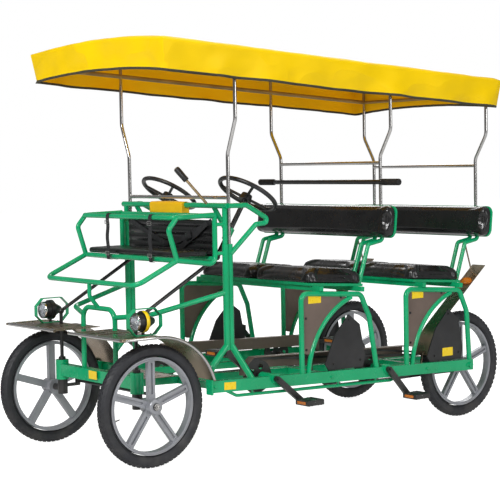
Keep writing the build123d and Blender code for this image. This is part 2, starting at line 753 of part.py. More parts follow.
# Canopy: one crowned sheet with a skirt on all four sides
with BuildPart() as canopy:
    roof_run = ROOF_BACK - ROOF_FRONT
    for inset, mode in ((0, Mode.ADD), (CLOTH, Mode.SUBTRACT)):
        start = ROOF_FRONT + inset
        wide = ROOF_HALF - inset
        top = roof_z(start) - inset
        bottom = roof_z(start) - SKIRT - inset * 4
        shoulder = ROOF_SHOULDER
        with BuildSketch(Plane(origin=(0, start, 0), x_dir=(1, 0, 0), z_dir=(0, -1, 0))):
            with BuildLine():
                Line((-wide, bottom), (-wide, top - shoulder))
                Line((-wide, top - shoulder), (-wide + shoulder, top))
                ThreePointArc((-wide + shoulder, top), (0, top + ROOF_CROWN), (wide - shoulder, top))
                Line((wide - shoulder, top), (wide, top - shoulder))
                Line((wide, top - shoulder), (wide, bottom))
                Line((wide, bottom), (-wide, bottom))
            make_face()
        run = roof_run - 2 * inset
        extrude(amount=run * sqrt(1 + ROOF_FALL**2), dir=(0, 1, -ROOF_FALL), mode=mode)
keep(canopy, "canopy")

# Push bar behind the front bench
PUSH_HALF = 513
PUSH_TUBE = 22
PUSH_Z = 1151
GRIP_LENGTH = 118
GRIP_DIAMETER = 31
push_y = BENCH_POST_Y - POST_TUBE / 2 - PUSH_TUBE / 2
with BuildPart() as push_bar:
    add(cylinder_x(PUSH_TUBE / 2, -PUSH_HALF + 4, PUSH_HALF - 4, push_y, PUSH_Z))
keep(push_bar, "push_bar")
with BuildPart() as push_grips:
    add(cylinder_x(GRIP_DIAMETER / 2, PUSH_HALF - GRIP_LENGTH, PUSH_HALF, push_y, PUSH_Z))
    fillet(push_grips.edges().filter_by(GeomType.CIRCLE), 5)
    add(cylinder_x(PUSH_TUBE / 2, PUSH_HALF - GRIP_LENGTH, PUSH_HALF - 4, push_y, PUSH_Z), mode=Mode.SUBTRACT)
    mirror(about=Plane.YZ)
keep(push_grips, "push_grips")

# Benches: frame, cushions, backrest and its board, made twice
ARC_RADIUS = 375
SIDE_TUBE_TOP = 660
SIDE_BEND = 34
PAN_THICKNESS = 12
FRONT_LEG_Y = -138
BACK_LEG_Y = 216
SUPPORT_XS = (388, 340)
SUPPORT_TUBE = 20
BOARD_THICKNESS = 11
ARC_START = 176
ARC_END = 108
CLAMP_THICKNESS = 18
CLAMP_WALL = 4
CLAMP_ZS = (948, 998)


def bench_side(dy, dz):
    """The side frame of a bench: a bent tube on the rail and an arc inside it."""
    leg = (rail_x, FRONT_LEG_Y + dy, rail_z(FRONT_LEG_Y + dy) + RAIL_HEIGHT / 2)
    front_top = (rail_x, FRONT_LEG_Y + dy, SIDE_TUBE_TOP + 12 + dz)
    back_top = (rail_x, BACK_LEG_Y + dy, SIDE_TUBE_TOP - 14 + dz)
    knee = (rail_x, BACK_LEG_Y + 50 + dy, 540 + dz)
    foot_y = min(BACK_LEG_Y + 92 + dy, rail_back - 12)
    foot = (rail_x, foot_y, rail_z(foot_y) + RAIL_HEIGHT / 2)
    arc_y = rear_y - BENCH_PITCH + dy
    arc_z = axle_z + BENCH_DROP + dz
    angles = (ARC_START, (ARC_START + ARC_END) / 2, ARC_END)
    with BuildPart() as made:
        add(tube([leg, front_top, back_top, knee, foot], SEAT_TUBE, SIDE_BEND))
        with BuildLine() as arc:
            ThreePointArc(
                *[
                    (rail_x, arc_y + ARC_RADIUS * cos(radians(a)), arc_z + ARC_RADIUS * sin(radians(a)))
                    for a in angles
                ]
            )
        with BuildSketch(Plane(origin=arc.line @ 0, z_dir=arc.line % 0)):
            Circle(BASKET_TUBE / 2)
        sweep()
    return made.part


for end, dy, dz in (("front", 0, 0), ("rear", BENCH_PITCH, -BENCH_DROP)):
    post_y = BENCH_POST_Y + dy
    seat = Plane(
        origin=(0, SEAT_FRONT + dy, SEAT_BOTTOM + dz),
        x_dir=(1, 0, 0),
        z_dir=(0, sin(radians(SEAT_TILT)), cos(radians(SEAT_TILT))),
    )
    back = Plane(
        origin=(0, BACK_Y + dy, BACK_BOTTOM + dz),
        x_dir=(1, 0, 0),
        z_dir=(0, -cos(radians(BACK_TILT)), sin(radians(BACK_TILT))),
    )
    behind = BACK_THICKNESS + BOARD_THICKNESS + 2 * RUN_GAP + SUPPORT_TUBE / 2
    with BuildPart() as bench:
        with BuildSketch(seat.offset(-PAN_THICKNESS - RUN_GAP)):
            with Locations((0, SEAT_DEPTH / 2)):
                Rectangle(SEAT_HALF * 2 - 12, SEAT_DEPTH - 30)
        extrude(amount=PAN_THICKNESS)
        with BuildSketch(seat.offset(-PAN_THICKNESS - 22)):
            for y in (40, SEAT_DEPTH - 60):
                with Locations((0, y)):
                    Rectangle(RAIL_SPREAD + SEAT_TUBE, 22)
        extrude(amount=22)
        add(bench_side(dy, dz))
        for x in SUPPORT_XS:
            low_bend = back.from_local_coords((x, -14, -behind))
            top_end = back.from_local_coords((x, 118, -behind))
            support = [(x, 262 + dy, 682 + dz), (x, 326 + dy, 866 + dz), tuple(low_bend), tuple(top_end)]
            add(tube(support, SUPPORT_TUBE, 18))
        for z in CLAMP_ZS:
            low_corner = (SUPPORT_XS[1] - 8, post_y - POST_TUBE / 2 - CLAMP_WALL, z + dz)
            high_corner = (SUPPORT_XS[0] + 8, post_y + POST_TUBE / 2 + CLAMP_WALL, z + dz + CLAMP_THICKNESS)
            add(block(low_corner, high_corner))
        mirror(about=Plane.YZ)
        add(side_rails.part, mode=Mode.SUBTRACT)
        add(bench_posts.part, mode=Mode.SUBTRACT)
    keep(bench, f"{end}_bench_frame")

    with BuildPart() as cushions:
        with BuildSketch(seat):
            for side in (1, -1):
                with Locations((side * SEAT_HALF / 2, SEAT_DEPTH / 2)):
                    RectangleRounded(SEAT_HALF - 2, SEAT_DEPTH, 40)
        extrude(amount=SEAT_THICKNESS)
        fillet(cushions.faces().filter_by(lambda f: f.normal_at().Z > 0.9).edges(), 16)
        add(bench.part, mode=Mode.SUBTRACT)
    keep(cushions, f"{end}_seats")

    with BuildPart() as backrest:
        with BuildSketch(back.offset(-BACK_THICKNESS)):
            with Locations((0, BACK_HEIGHT / 2)):
                RectangleRounded(BACK_HALF * 2, BACK_HEIGHT, 34)
        extrude(amount=BACK_THICKNESS)
        fillet(backrest.faces().sort_by(Axis.Y)[0].edges(), 14)
        add(bench.part, mode=Mode.SUBTRACT)
    keep(backrest, f"{end}_backrest")

    with BuildPart() as board:
        with BuildSketch(back.offset(-BACK_THICKNESS - BOARD_THICKNESS - RUN_GAP)):
            with Locations((0, BACK_HEIGHT / 2)):
                RectangleRounded(BACK_HALF * 2 + 8, BACK_HEIGHT + 6, 36)
        extrude(amount=BOARD_THICKNESS)
        add(bench.part, mode=Mode.SUBTRACT)
        add(bench_posts.part, mode=Mode.SUBTRACT)
    keep(board, f"{end}_back_board")
bench_frames = [nodes["front_bench_frame"].part, nodes["rear_bench_frame"].part]

# Steel side panels above the arcs, and the black covers below them
PANEL_SHEET = 3
PANEL_BASE = 400
PANEL_BACK = 130
COVER_SHEET = 6
with BuildPart() as side_panels:
    for dy, dz in ((0, 0), (BENCH_PITCH, -BENCH_DROP)):
        arc_y = rear_y - BENCH_PITCH + dy
        arc_z = axle_z + BENCH_DROP + dz
        with BuildSketch(Plane.YZ.offset(rail_x - PANEL_SHEET / 2)) as panel:
            Polygon(
                (FRONT_LEG_Y + dy, PANEL_BASE + dz),
                (FRONT_LEG_Y + dy, SIDE_TUBE_TOP + 12 + dz),
                (PANEL_BACK + dy, SIDE_TUBE_TOP - 7 + dz),
                (PANEL_BACK + dy, PANEL_BASE + dz),
                align=None,
            )
            top_corner = panel.vertices().group_by(Axis.Z)[-1]
            fillet(top_corner, SIDE_BEND)
            with Locations((arc_y, arc_z)):
                Circle(ARC_RADIUS, mode=Mode.SUBTRACT)
        extrude(amount=PANEL_SHEET)
    mirror(about=Plane.YZ)
    for frame in bench_frames:
        add(frame, mode=Mode.SUBTRACT)
keep(side_panels, "side_panels")

with BuildPart() as wheel_covers:
    for dy, dz in ((-BENCH_PITCH, BENCH_DROP), (0, 0)):
        base = rail_z(770 + dy) + RAIL_HEIGHT / 2 + 4
        outline = [
            (660, base),
            (640, base + 30),
            (700, 450 + dz),
            (785, 535 + dz),
            (850, 487 + dz),
            (880, 340 + dz),
            (866, base),
        ]
        with BuildSketch(Plane.YZ.offset(rail_x - 10)):
            Polygon(*[(y + dy, z) for y, z in outline], align=None)
        extrude(amount=COVER_SHEET)
    mirror(about=Plane.YZ)
    for frame in bench_frames:
        add(frame, mode=Mode.SUBTRACT)
    add(side_rails.part, mode=Mode.SUBTRACT)
keep(wheel_covers, "wheel_covers")

# Rear mudguards, each an arc that runs on as a straight tail
MUD_RADIUS = 270
MUD_ANGLES = (166, 130)
TAIL = 412
MUD_INNER = 356
MUD_OUTER = 440
mud_outside = MUD_RADIUS + WING_SHEET
low_angle, top_angle = MUD_ANGLES
mud_angles = (low_angle, (low_angle + top_angle) / 2, top_angle)
tail_y = cos(radians(top_angle - 90)) * TAIL
tail_z = sin(radians(top_angle - 90)) * TAIL
mud_inside_arc = [wheel_point(MUD_RADIUS, a, rear_y) for a in mud_angles]
mud_outside_arc = [wheel_point(mud_outside, a, rear_y) for a in mud_angles]
inner_tail = (mud_inside_arc[2][0] + tail_y, mud_inside_arc[2][1] + tail_z)
outer_tail = (mud_outside_arc[2][0] + tail_y, mud_outside_arc[2][1] + tail_z)
STRUT_X = MUD_OUTER - 30
with BuildPart() as rear_mudguards:
    with BuildSketch(Plane.YZ.offset(MUD_INNER)):
        with BuildLine():
            ThreePointArc(*mud_inside_arc)
            Line(mud_inside_arc[2], inner_tail)
            Line(inner_tail, outer_tail)
            Line(outer_tail, mud_outside_arc[2])
            ThreePointArc(*reversed(mud_outside_arc))
            Line(mud_outside_arc[0], mud_inside_arc[0])
        make_face()
    extrude(amount=MUD_OUTER - MUD_INNER)
    strut_top = (SUPPORT_XS[0], 326 + BENCH_PITCH, 866 - BENCH_DROP)
    strut_foot = (SUPPORT_XS[0], outer_tail[0] - 40, outer_tail[1] - 34)
    add(tube([strut_top, strut_foot], 8))
    stay_end = wheel_point(mud_outside, low_angle - 3, rear_y)
    stay_start = (STRUT_X, CROSS_YS[2] + CROSS_TUBE / 2, rail_z(CROSS_YS[2]))
    add(tube([stay_start, (STRUT_X, *stay_end)], 8))
    mirror(about=Plane.YZ)
    add(bench_frames[1], mode=Mode.SUBTRACT)
    add(centre_frame.part, mode=Mode.SUBTRACT)
keep(rear_mudguards, "rear_mudguards")

tail_angle = MUD_ANGLES[1] - 90
tail_normal = Vector(0, -sin(radians(tail_angle)), cos(radians(tail_angle)))
reflector_at = Vector((MUD_INNER + MUD_OUTER) / 2, outer_tail[0], outer_tail[1])
reflector_at -= Vector(0, cos(radians(tail_angle)), sin(radians(tail_angle))) * 118
with BuildPart() as reflectors:
    with BuildSketch(Plane(origin=reflector_at, x_dir=(1, 0, 0), z_dir=tail_normal)):
        Ellipse(36, 20)
    extrude(amount=6)
    mirror(about=Plane.YZ)
keep(reflectors, "reflectors")

# Chain guards and chains
GUARD_X = 321
GUARD_WIDTH = 40
GUARD_RISE = 100
GUARD_SKIRT = 54
GUARD_SHEET = 3
GUARD_END_Y = 596
with BuildPart() as chain_guards:
    start_y = FRONT_CRANK_Y - 30
    top_line = [(y, rail_z(y) + GUARD_RISE) for y in (start_y, GUARD_END_Y)]
    nose_z = crank_z(FRONT_CRANK_Y)
    upper = [(FRONT_CRANK_Y - 86, nose_z + 10), (FRONT_CRANK_Y - 76, nose_z + 52), *top_line]
    lower = [(y, z - GUARD_SHEET) for y, z in upper]
    lower[0] = (upper[0][0] + GUARD_SHEET, upper[0][1])
    lower[1] = (upper[1][0] + GUARD_SHEET, upper[1][1] - 1)
    add(side_shape([*upper, *reversed(lower)], GUARD_X, GUARD_X + GUARD_WIDTH))
    skirt = [*top_line, *[(y, z - GUARD_SKIRT) for y, z in reversed(top_line)]]
    add(side_shape(skirt, GUARD_X, GUARD_X + GUARD_SHEET))
    for y in CROSS_YS[1:]:
        foot = (GUARD_X, y - 10, rail_z(y) + CROSS_TUBE / 2)
        head = (GUARD_X + GUARD_SHEET, y + 10, rail_z(y) + GUARD_RISE - GUARD_SHEET)
        add(block(foot, head))
    mirror(about=Plane.YZ)
keep(chain_guards, "chain_guards")


def chain_loop(start_y, x):
    """A flat band round a chainring and the rear sprocket."""
    gap = 1
    y0, z0, r0 = start_y, crank_z(start_y), RING_RADIUS + gap
    y1, z1, r1 = rear_y, axle_z, SPROCKET_RADIUS + gap
    span = hypot(y1 - y0, z1 - z0)
    along = atan2(z1 - z0, y1 - y0)
    lean = asin((r0 - r1) / span)
    with BuildPart() as band:
        for grow, mode in ((CHAIN_HEIGHT, Mode.ADD), (0, Mode.SUBTRACT)):
            with BuildSketch(Plane.YZ.offset(x - CHAIN_WIDTH / 2)):
                for y, z, r in ((y0, z0, r0), (y1, z1, r1)):
                    with Locations((y, z)):
                        Circle(r + grow)
                corners = []
                for y, z, r, turn in ((y0, z0, r0, 1), (y1, z1, r1, 1), (y1, z1, r1, -1), (y0, z0, r0, -1)):
                    angle = along + turn * (pi / 2 - lean)
                    corners.append((y + (r + grow) * cos(angle), z + (r + grow) * sin(angle)))
                Polygon(*corners, align=None)
            extrude(amount=CHAIN_WIDTH, mode=mode)
    return band.part


with BuildPart() as chains:
    for start_y, x in ((FRONT_CRANK_Y, FRONT_CHAIN_X), (REAR_CRANK_Y, REAR_CHAIN_X)):
        add(chain_loop(start_y, x))
    mirror(about=Plane.YZ)
keep(chains, "chains")

# Lower guard tubes under the rails
LOWER_DROP = 46
with BuildPart() as lower_tubes:
    line = []
    for y, drop in ((-560, 20), (-505, LOWER_DROP), (396, LOWER_DROP - 4), (452, 20)):
        line.append((rail_x, y, rail_z(y) - drop))
    add(tube(line, GUARD_TUBE, 40))
    for y in (-420, 70, 300):
        add(tube([(rail_x, y, rail_z(y) - LOWER_DROP), (rail_x, y, rail_z(y))], 10))
    mirror(about=Plane.YZ)
    add(side_rails.part, mode=Mode.SUBTRACT)
keep(lower_tubes, "lower_tubes")

# Foot plate on the centre tubes
PLATE_ENDS = (-860, -620)
PLATE_SHEET = 3
with BuildPart() as foot_plate:
    seat_z = CENTRE_TUBE / 2
    top_line = [(y, rail_z(y) + seat_z + PLATE_SHEET) for y in PLATE_ENDS]
    base_line = [(y, rail_z(y) + seat_z) for y in reversed(PLATE_ENDS)]
    add(side_shape([*top_line, *base_line], -centre_x - seat_z, centre_x + seat_z))
keep(foot_plate, "foot_plate")

# Dash pad, hand brake
with BuildPart() as dash_pad:
    with BuildSketch(Plane.YZ.offset(-150)):
        with Locations((DASH_Y - 4, DASH_Z - 22)):
            RectangleRounded(46, 74, 10)
    extrude(amount=250)
    add(cylinder_x(SEAT_TUBE / 2, -200, 200, DASH_Y, DASH_Z), mode=Mode.SUBTRACT)
keep(dash_pad, "dash_pad")

brake_foot = Vector(262, DASH_Y - 4, DASH_Z + 6)
brake_top = Vector(157, DASH_Y - 87, 1228)
brake_line = (brake_top - brake_foot).normalized()
with BuildPart() as hand_brake:
    add(tube([tuple(brake_foot), tuple(brake_top)], 12))
    add(tube([tuple(brake_top - brake_line * 62), tuple(brake_top + brake_line * 4)], 25))
    add(dash_frame.part, mode=Mode.SUBTRACT)
keep(hand_brake, "hand_brake")

# Steering wheels with their columns, and the shafts below them
for hand, side in SIDES:
    with BuildPart() as steering:
        plane = Plane(origin=wheel_centre, x_dir=(1, 0, 0), z_dir=column_down * -1)
        rim_start = wheel_centre + Vector(STEERING_RADIUS, 0, 0)
        with BuildSketch(Plane(origin=rim_start, x_dir=(1, 0, 0), z_dir=plane.y_dir)):
            Circle(STEERING_RIM / 2)
        revolve(axis=Axis(wheel_centre, plane.z_dir))
        with BuildSketch(plane.offset(-34)):
            Circle(30)
        extrude(amount=30, taper=12)
        for angle in (90, 210, 330):
            reach = (STEERING_RADIUS * cos(radians(angle)), STEERING_RADIUS * sin(radians(angle)), 0)
            spoke_end = plane.from_local_coords(reach)
            hub = wheel_centre + column_down * 22
            add(tube([tuple(hub), tuple(spoke_end)], 13))
        add(tube([tuple(wheel_centre + column_down * 30), tuple(upper_joint)], COLUMN_DIAMETER))
        with Locations(tuple(upper_joint)):
            Sphere(JOINT_RADIUS)
        if side < 0:
            mirror(about=Plane.YZ, mode=Mode.REPLACE)
    keep(steering, f"{hand}_steering_wheel")

    along = (lower_joint - upper_joint).normalized()
    with BuildPart() as shaft:
        seat_gap = JOINT_RADIUS + RUN_GAP
        shaft_ends = (upper_joint + along * seat_gap, lower_joint - along * seat_gap)
        add(tube([tuple(end) for end in shaft_ends], SHAFT_DIAMETER))
        if side < 0:
            mirror(about=Plane.YZ, mode=Mode.REPLACE)
    keep(shaft, f"{hand}_steering_shaft")

# Cranks with their chainrings and pedals
CRANK_SETS = (
    ("front", FRONT_CRANK_Y, FRONT_CHAIN_X, -39),
    ("rear", REAR_CRANK_Y, REAR_CHAIN_X, -48),
)
for end, crank_y, chain_x, crank_angle in CRANK_SETS:
    y, z = crank_y, crank_z(crank_y)
    for hand, side in SIDES:
        turn = crank_angle if side > 0 else crank_angle + 180
        with BuildPart() as crank:
            add(cylinder_x(SPINDLE / 2, INNER_ARM_X - 8, OUTER_ARM_X + 8, y, z))
            with BuildSketch(Plane.YZ.offset(chain_x - 2)):
                with Locations((y, z)):
                    Circle(RING_RADIUS)
                    with PolarLocations(RING_RADIUS * 0.6, 5):
                        Circle(13, mode=Mode.SUBTRACT)
            extrude(amount=4)
            for arm_x, sign in ((OUTER_ARM_X, 1), (INNER_ARM_X, -1)):
                dy = sign * CRANK_ARM * cos(radians(turn))
                dz = sign * CRANK_ARM * sin(radians(turn))
                with BuildSketch(Plane.YZ.offset(arm_x - CRANK_THICKNESS / 2)):
                    with Locations(Location((y + dy / 2, z + dz / 2), turn)):
                        SlotOverall(CRANK_ARM + 26, 26)
                extrude(amount=CRANK_THICKNESS)
                start = arm_x + sign * CRANK_THICKNESS / 2
                finish = start + sign * (PEDAL_WIDTH + 8)
                add(cylinder_x(6, min(start, finish), max(start, finish), y + dy, z + dz))
                pedal_low = min(start + sign * 8, finish)
                add(
                    block(
                        (pedal_low, y + dy - PEDAL_LENGTH / 2, z + dz - PEDAL_HEIGHT / 2),
                        (pedal_low + PEDAL_WIDTH, y + dy + PEDAL_LENGTH / 2, z + dz + PEDAL_HEIGHT / 2),
                        3,
                    )
                )
            if side < 0:
                mirror(about=Plane.YZ, mode=Mode.REPLACE)
        keep(crank, f"{end}_{hand}_crank")

for name, made in nodes.items():
    export_step(made.part, f"parts/{name}.step")
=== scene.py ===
"""Looks of a four-wheeled surrey bike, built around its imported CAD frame."""

from math import cos, hypot, pi, radians, sin

import bmesh
import bpy
from bpy.props import FloatProperty, FloatVectorProperty, IntProperty, PointerProperty
from mathutils import Matrix, Vector, geometry, noise


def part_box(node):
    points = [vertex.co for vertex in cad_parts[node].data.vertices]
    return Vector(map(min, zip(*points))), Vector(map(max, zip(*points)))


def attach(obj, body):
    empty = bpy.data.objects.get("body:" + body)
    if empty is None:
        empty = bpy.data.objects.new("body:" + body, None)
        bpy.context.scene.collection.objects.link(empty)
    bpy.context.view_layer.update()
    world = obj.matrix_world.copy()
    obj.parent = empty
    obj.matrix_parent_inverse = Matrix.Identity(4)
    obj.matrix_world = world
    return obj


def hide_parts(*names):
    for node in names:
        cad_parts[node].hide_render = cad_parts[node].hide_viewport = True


bl_info = {
    "name": "Surrey bike",
    "version": (1, 0, 0),
    "blender": (4, 5, 0),
    "location": "View3D > Sidebar > Surrey bike",
    "description": "Builds the canopy, cushions, trim and finishes of a surrey bike",
    "category": "Object",
}

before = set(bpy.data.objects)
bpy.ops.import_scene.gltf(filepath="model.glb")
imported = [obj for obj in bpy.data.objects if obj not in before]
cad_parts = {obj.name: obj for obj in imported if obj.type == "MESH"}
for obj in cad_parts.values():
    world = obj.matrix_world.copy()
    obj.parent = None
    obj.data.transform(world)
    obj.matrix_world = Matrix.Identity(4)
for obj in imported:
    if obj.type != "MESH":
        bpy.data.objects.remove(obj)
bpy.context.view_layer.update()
finishes = {}
SIDES = (("left", 1), ("right", -1))

# Measures that several pieces share, in metres
AXLE_Y = 0.91
AXLE_Z = 0.257
RAIL_SLOPE = 0.035796
BENCH_PITCH = 0.638
BENCH_DROP = 0.023
PANEL_X = 0.4535
COVER_X = 0.448
RAIL_X = 0.467
CRANK_ARM = 0.17


# Sizes and colours


def colour(name, value, description):
    return FloatVectorProperty(
        name=name, description=description, default=value, size=3, min=0, max=1, subtype="COLOR"
    )


def length(name, value, description):
    return FloatProperty(name=name, description=description, default=value, min=0, unit="LENGTH")


class SurreyColours(bpy.types.PropertyGroup):
    enamel: colour("Frame enamel", (0.002, 0.4, 0.16), "Glossy paint of the tubes")
    enamel_deep: colour("Deep enamel", (0.001, 0.34, 0.13), "Paint where it lies thicker")
    canopy: colour("Canopy", (1.0, 0.66, 0.0), "Coated outer side of the canopy")
    # the inside's more orange tone is painted light that comes through the cloth
    canopy_inside_painted_light: colour("Canopy inside", (1.0, 0.56, 0.006), "Uncoated inner side of the canopy")
    hem: colour("Hem tape", (0.06, 0.055, 0.03), "Binding along the canopy's lower edge")
    vinyl: colour("Seat vinyl", (0.012, 0.012, 0.013), "Cushions and backrests")
    pad: colour("Dash pad", (0.98, 0.57, 0.0), "Pad round the middle of the dash tube")
    rubber: colour("Tyre rubber", (0.022, 0.023, 0.028), "Tyres")
    cast: colour("Cast rims", (0.36, 0.37, 0.4), "Lacquered cast wheels")
    deck: colour("Deck sheet", (0.33, 0.26, 0.19), "Polished sheet of the wings and mudguards")
    panel: colour("Panel sheet", (0.2, 0.15, 0.125), "Satin sheet of the side panels and chain guards")
    plate: colour("Blank plates", (0.98, 0.68, 0.0), "Small blank plates and the lamp's band")
    amber: colour("Amber", (0.75, 0.2, 0.005), "Reflectors")


class SurreySizes(bpy.types.PropertyGroup):
    skirt_wave: length("Skirt wave", 0.009, "How far the canopy's skirt stands in and out")
    hem_height: length("Hem height", 0.011, "Height of the hem tape")
    sag: length("Canopy sag", 0.007, "How far the cloth dips between the bows")
    cushion_rise: length("Cushion rise", 0.014, "How far the padding may swell")
    tread_depth: length("Tread depth", 0.0022, "Height of the tread blocks")
    tread_count: IntProperty(
        name="Tread blocks", description="Blocks in each row round a tyre", default=66, min=12
    )
    plate_thickness: length("Plate thickness", 0.0012, "Thickness of the blank plates")


def colours():
    return bpy.context.scene.surrey_colours


def sizes():
    return bpy.context.scene.surrey_sizes


# Materials


class Shading:
    """Short calls for adding and joining the nodes of one tree."""

    def __init__(self, tree):
        self.tree = tree

    def feed(self, socket, value):
        if isinstance(value, bpy.types.NodeSocket):
            self.tree.links.new(value, socket)
        else:
            socket.default_value = value

    def node(self, kind, settings=(), **inputs):
        made = self.tree.nodes.new(kind)
        for key, value in dict(settings).items():
            setattr(made, key, value)
        for key, value in inputs.items():
            self.feed(made.inputs[key.replace("_", " ")], value)
        return made

    def maths(self, operation, *values):
        made = self.node("ShaderNodeMath", {"operation": operation})
        for socket, value in zip(made.inputs, values):
            self.feed(socket, value)
        return made.outputs[0]

    def noise(self, vector, scale, detail=3.0):
        return self.node("ShaderNodeTexNoise", Vector=vector, Scale=scale, Detail=detail).outputs["Fac"]

    def ramp(self, value, low, high, start=0.0, end=1.0):
        made = self.node(
            "ShaderNodeMapRange", {"interpolation_type": "SMOOTHSTEP"},
            Value=value, From_Min=low, From_Max=high, To_Min=start, To_Max=end,
        )
        return made.outputs[0]

    def mix(self, factor, first, second):
        made = self.node("ShaderNodeMix", {"data_type": "RGBA"})
        for index, value in ((0, factor), (6, first), (7, second)):
            self.feed(made.inputs[index], value)
        return made.outputs[2]


def shading_group(name, inputs, outputs):
    """A node group with a Vector input, number inputs and number outputs."""
    tree = bpy.data.node_groups.new(name, "ShaderNodeTree")
    tree.interface.new_socket(name="Vector", in_out="INPUT", socket_type="NodeSocketVector")
    for label, value in inputs:
        socket = tree.interface.new_socket(name=label, in_out="INPUT", socket_type="NodeSocketFloat")
        socket.default_value = value
    for label in outputs:
        tree.interface.new_socket(name=label, in_out="OUTPUT", socket_type="NodeSocketFloat")
    entry = tree.nodes.new("NodeGroupInput").outputs
    leave = tree.nodes.new("NodeGroupOutput").inputs
    return Shading(tree), entry, leave


def make_groups():
    """The effects that several finishes share."""
    t, entry, leave = shading_group("Edge wear", [("Scale", 30), ("Amount", 0.3)], ["Mask"])
    patches = t.ramp(t.noise(entry["Vector"], entry["Scale"], 4.0), 0.6, 0.72)
    scuffs = t.ramp(t.noise(entry["Vector"], t.maths("MULTIPLY", entry["Scale"], 7.0), 2.0), 0.5, 0.7)
    t.feed(leave["Mask"], t.maths("MULTIPLY", t.maths("MULTIPLY", patches, scuffs), entry["Amount"]))

    t, entry, leave = shading_group("Dust", [("Amount", 0.3), ("Height", 0.5)], ["Mask"])
    height = t.node("ShaderNodeSeparateXYZ", Vector=entry["Vector"]).outputs["Z"]
    low = t.maths("SUBTRACT", 1.0, t.maths("MINIMUM", t.maths("DIVIDE", height, entry["Height"]), 1.0))
    cloud = t.ramp(t.noise(entry["Vector"], 14.0, 5.0), 0.35, 0.75)
    t.feed(leave["Mask"], t.maths("MULTIPLY", t.maths("MULTIPLY", low, cloud), entry["Amount"]))

    t, entry, leave = shading_group("Grain", [("Scale", 400)], ["Height"])
    cells = t.node(
        "ShaderNodeTexVoronoi", {"feature": "SMOOTH_F1"}, Vector=entry["Vector"], Scale=entry["Scale"]
    ).outputs["Distance"]
    creases = t.noise(entry["Vector"], t.maths("MULTIPLY", entry["Scale"], 0.07), 4.0)
    t.feed(leave["Height"], t.maths("ADD", cells, t.maths("MULTIPLY", creases, 1.5)))

    t, entry, leave = shading_group("Weave", [("Scale", 2600)], ["Height"])
    parts = t.node("ShaderNodeSeparateXYZ", Vector=entry["Vector"]).outputs
    across = t.maths("SINE", t.maths("MULTIPLY", t.maths("ADD", parts["X"], parts["Z"]), entry["Scale"]))
    down = t.maths("SINE", t.maths("MULTIPLY", t.maths("SUBTRACT", parts["Y"], parts["Z"]), entry["Scale"]))
    t.feed(leave["Height"], t.maths("MULTIPLY", across, down))

    t, entry, leave = shading_group("Brushed", [("Scale", 60)], ["Height"])
    streaks = t.node("ShaderNodeMapping", Vector=entry["Vector"], Scale=(6.0, 0.25, 6.0)).outputs[0]
    t.feed(leave["Height"], t.noise(streaks, entry["Scale"], 4.0))

    t, entry, leave = shading_group("Cast skin", [("Scale", 300)], ["Height"])
    t.feed(leave["Height"], t.noise(entry["Vector"], entry["Scale"], 5.0))

    t, entry, leave = shading_group("Tyre side", [("Rings", 1100)], ["Height"])
    parts = t.node("ShaderNodeSeparateXYZ", Vector=entry["Vector"]).outputs
    along = t.maths("SUBTRACT", t.maths("ABSOLUTE", parts["Y"]), AXLE_Y)
    up = t.maths("SUBTRACT", parts["Z"], AXLE_Z)
    radius = t.maths("SQRT", t.maths("ADD", t.maths("MULTIPLY", along, along), t.maths("MULTIPLY", up, up)))
    t.feed(leave["Height"], t.maths("SINE", t.maths("MULTIPLY", radius, entry["Rings"])))


def finish(name, base, deep, rough, relief=None, bump=0.1, depth=0.001, metallic=0.0, coat=0.0,
           mottle=6.0, wear=0.0, worn=(0.3, 0.3, 0.3), dust=0.0, dust_height=0.5, settings=()):
    """A Principled finish with mottled colour, uneven gloss, dust, worn places and a fine relief; on the
    canopy the mottle is painted shade of its folds.
    """
    material = bpy.data.materials.new(name)
    material.use_nodes = True
    t = Shading(material.node_tree)
    shader = t.tree.nodes["Principled BSDF"]
    shader.inputs["Metallic"].default_value = metallic
    shader.inputs["Coat Weight"].default_value = coat
    shader.inputs["Coat Roughness"].default_value = 0.06
    for label, value in dict(settings).items():
        shader.inputs[label].default_value = value
    place = t.node("ShaderNodeTexCoord").outputs["Object"]
    place = t.node("ShaderNodeMapping", Vector=place, Location=(0.0, 0.0, 0.0)).outputs[0]

    def group(label, **inputs):
        made = t.node("ShaderNodeGroup", {"node_tree": bpy.data.node_groups[label]}, Vector=place, **inputs)
        return made.outputs[0]

    clouds = t.noise(place, mottle, 4.0)
    tint = t.mix(t.ramp(clouds, 0.3, 0.7), (*base, 1), (*deep, 1))
    gloss = t.ramp(t.noise(place, mottle * 2.3, 3.0), 0.3, 0.7, rough[0], rough[1])
    if dust:
        film = group("Dust", Amount=dust, Height=dust_height)
        tint = t.mix(film, tint, (0.36, 0.33, 0.28, 1))
        gloss = t.maths("ADD", gloss, t.maths("MULTIPLY", film, 0.4))
    if wear:
        rubbed = group("Edge wear", Amount=wear)
        tint = t.mix(rubbed, tint, (*worn, 1))
    t.feed(shader.inputs["Base Color"], tint)
    t.feed(shader.inputs["Roughness"], gloss)
    if relief:
        label, scale = relief
        key = "Rings" if label == "Tyre side" else "Scale"
        height = group(label, **{key: scale})
        made = t.node("ShaderNodeBump", Height=height, Strength=bump, Distance=depth)
        t.feed(shader.inputs["Normal"], made.outputs[0])
    finishes[name] = material
    return material


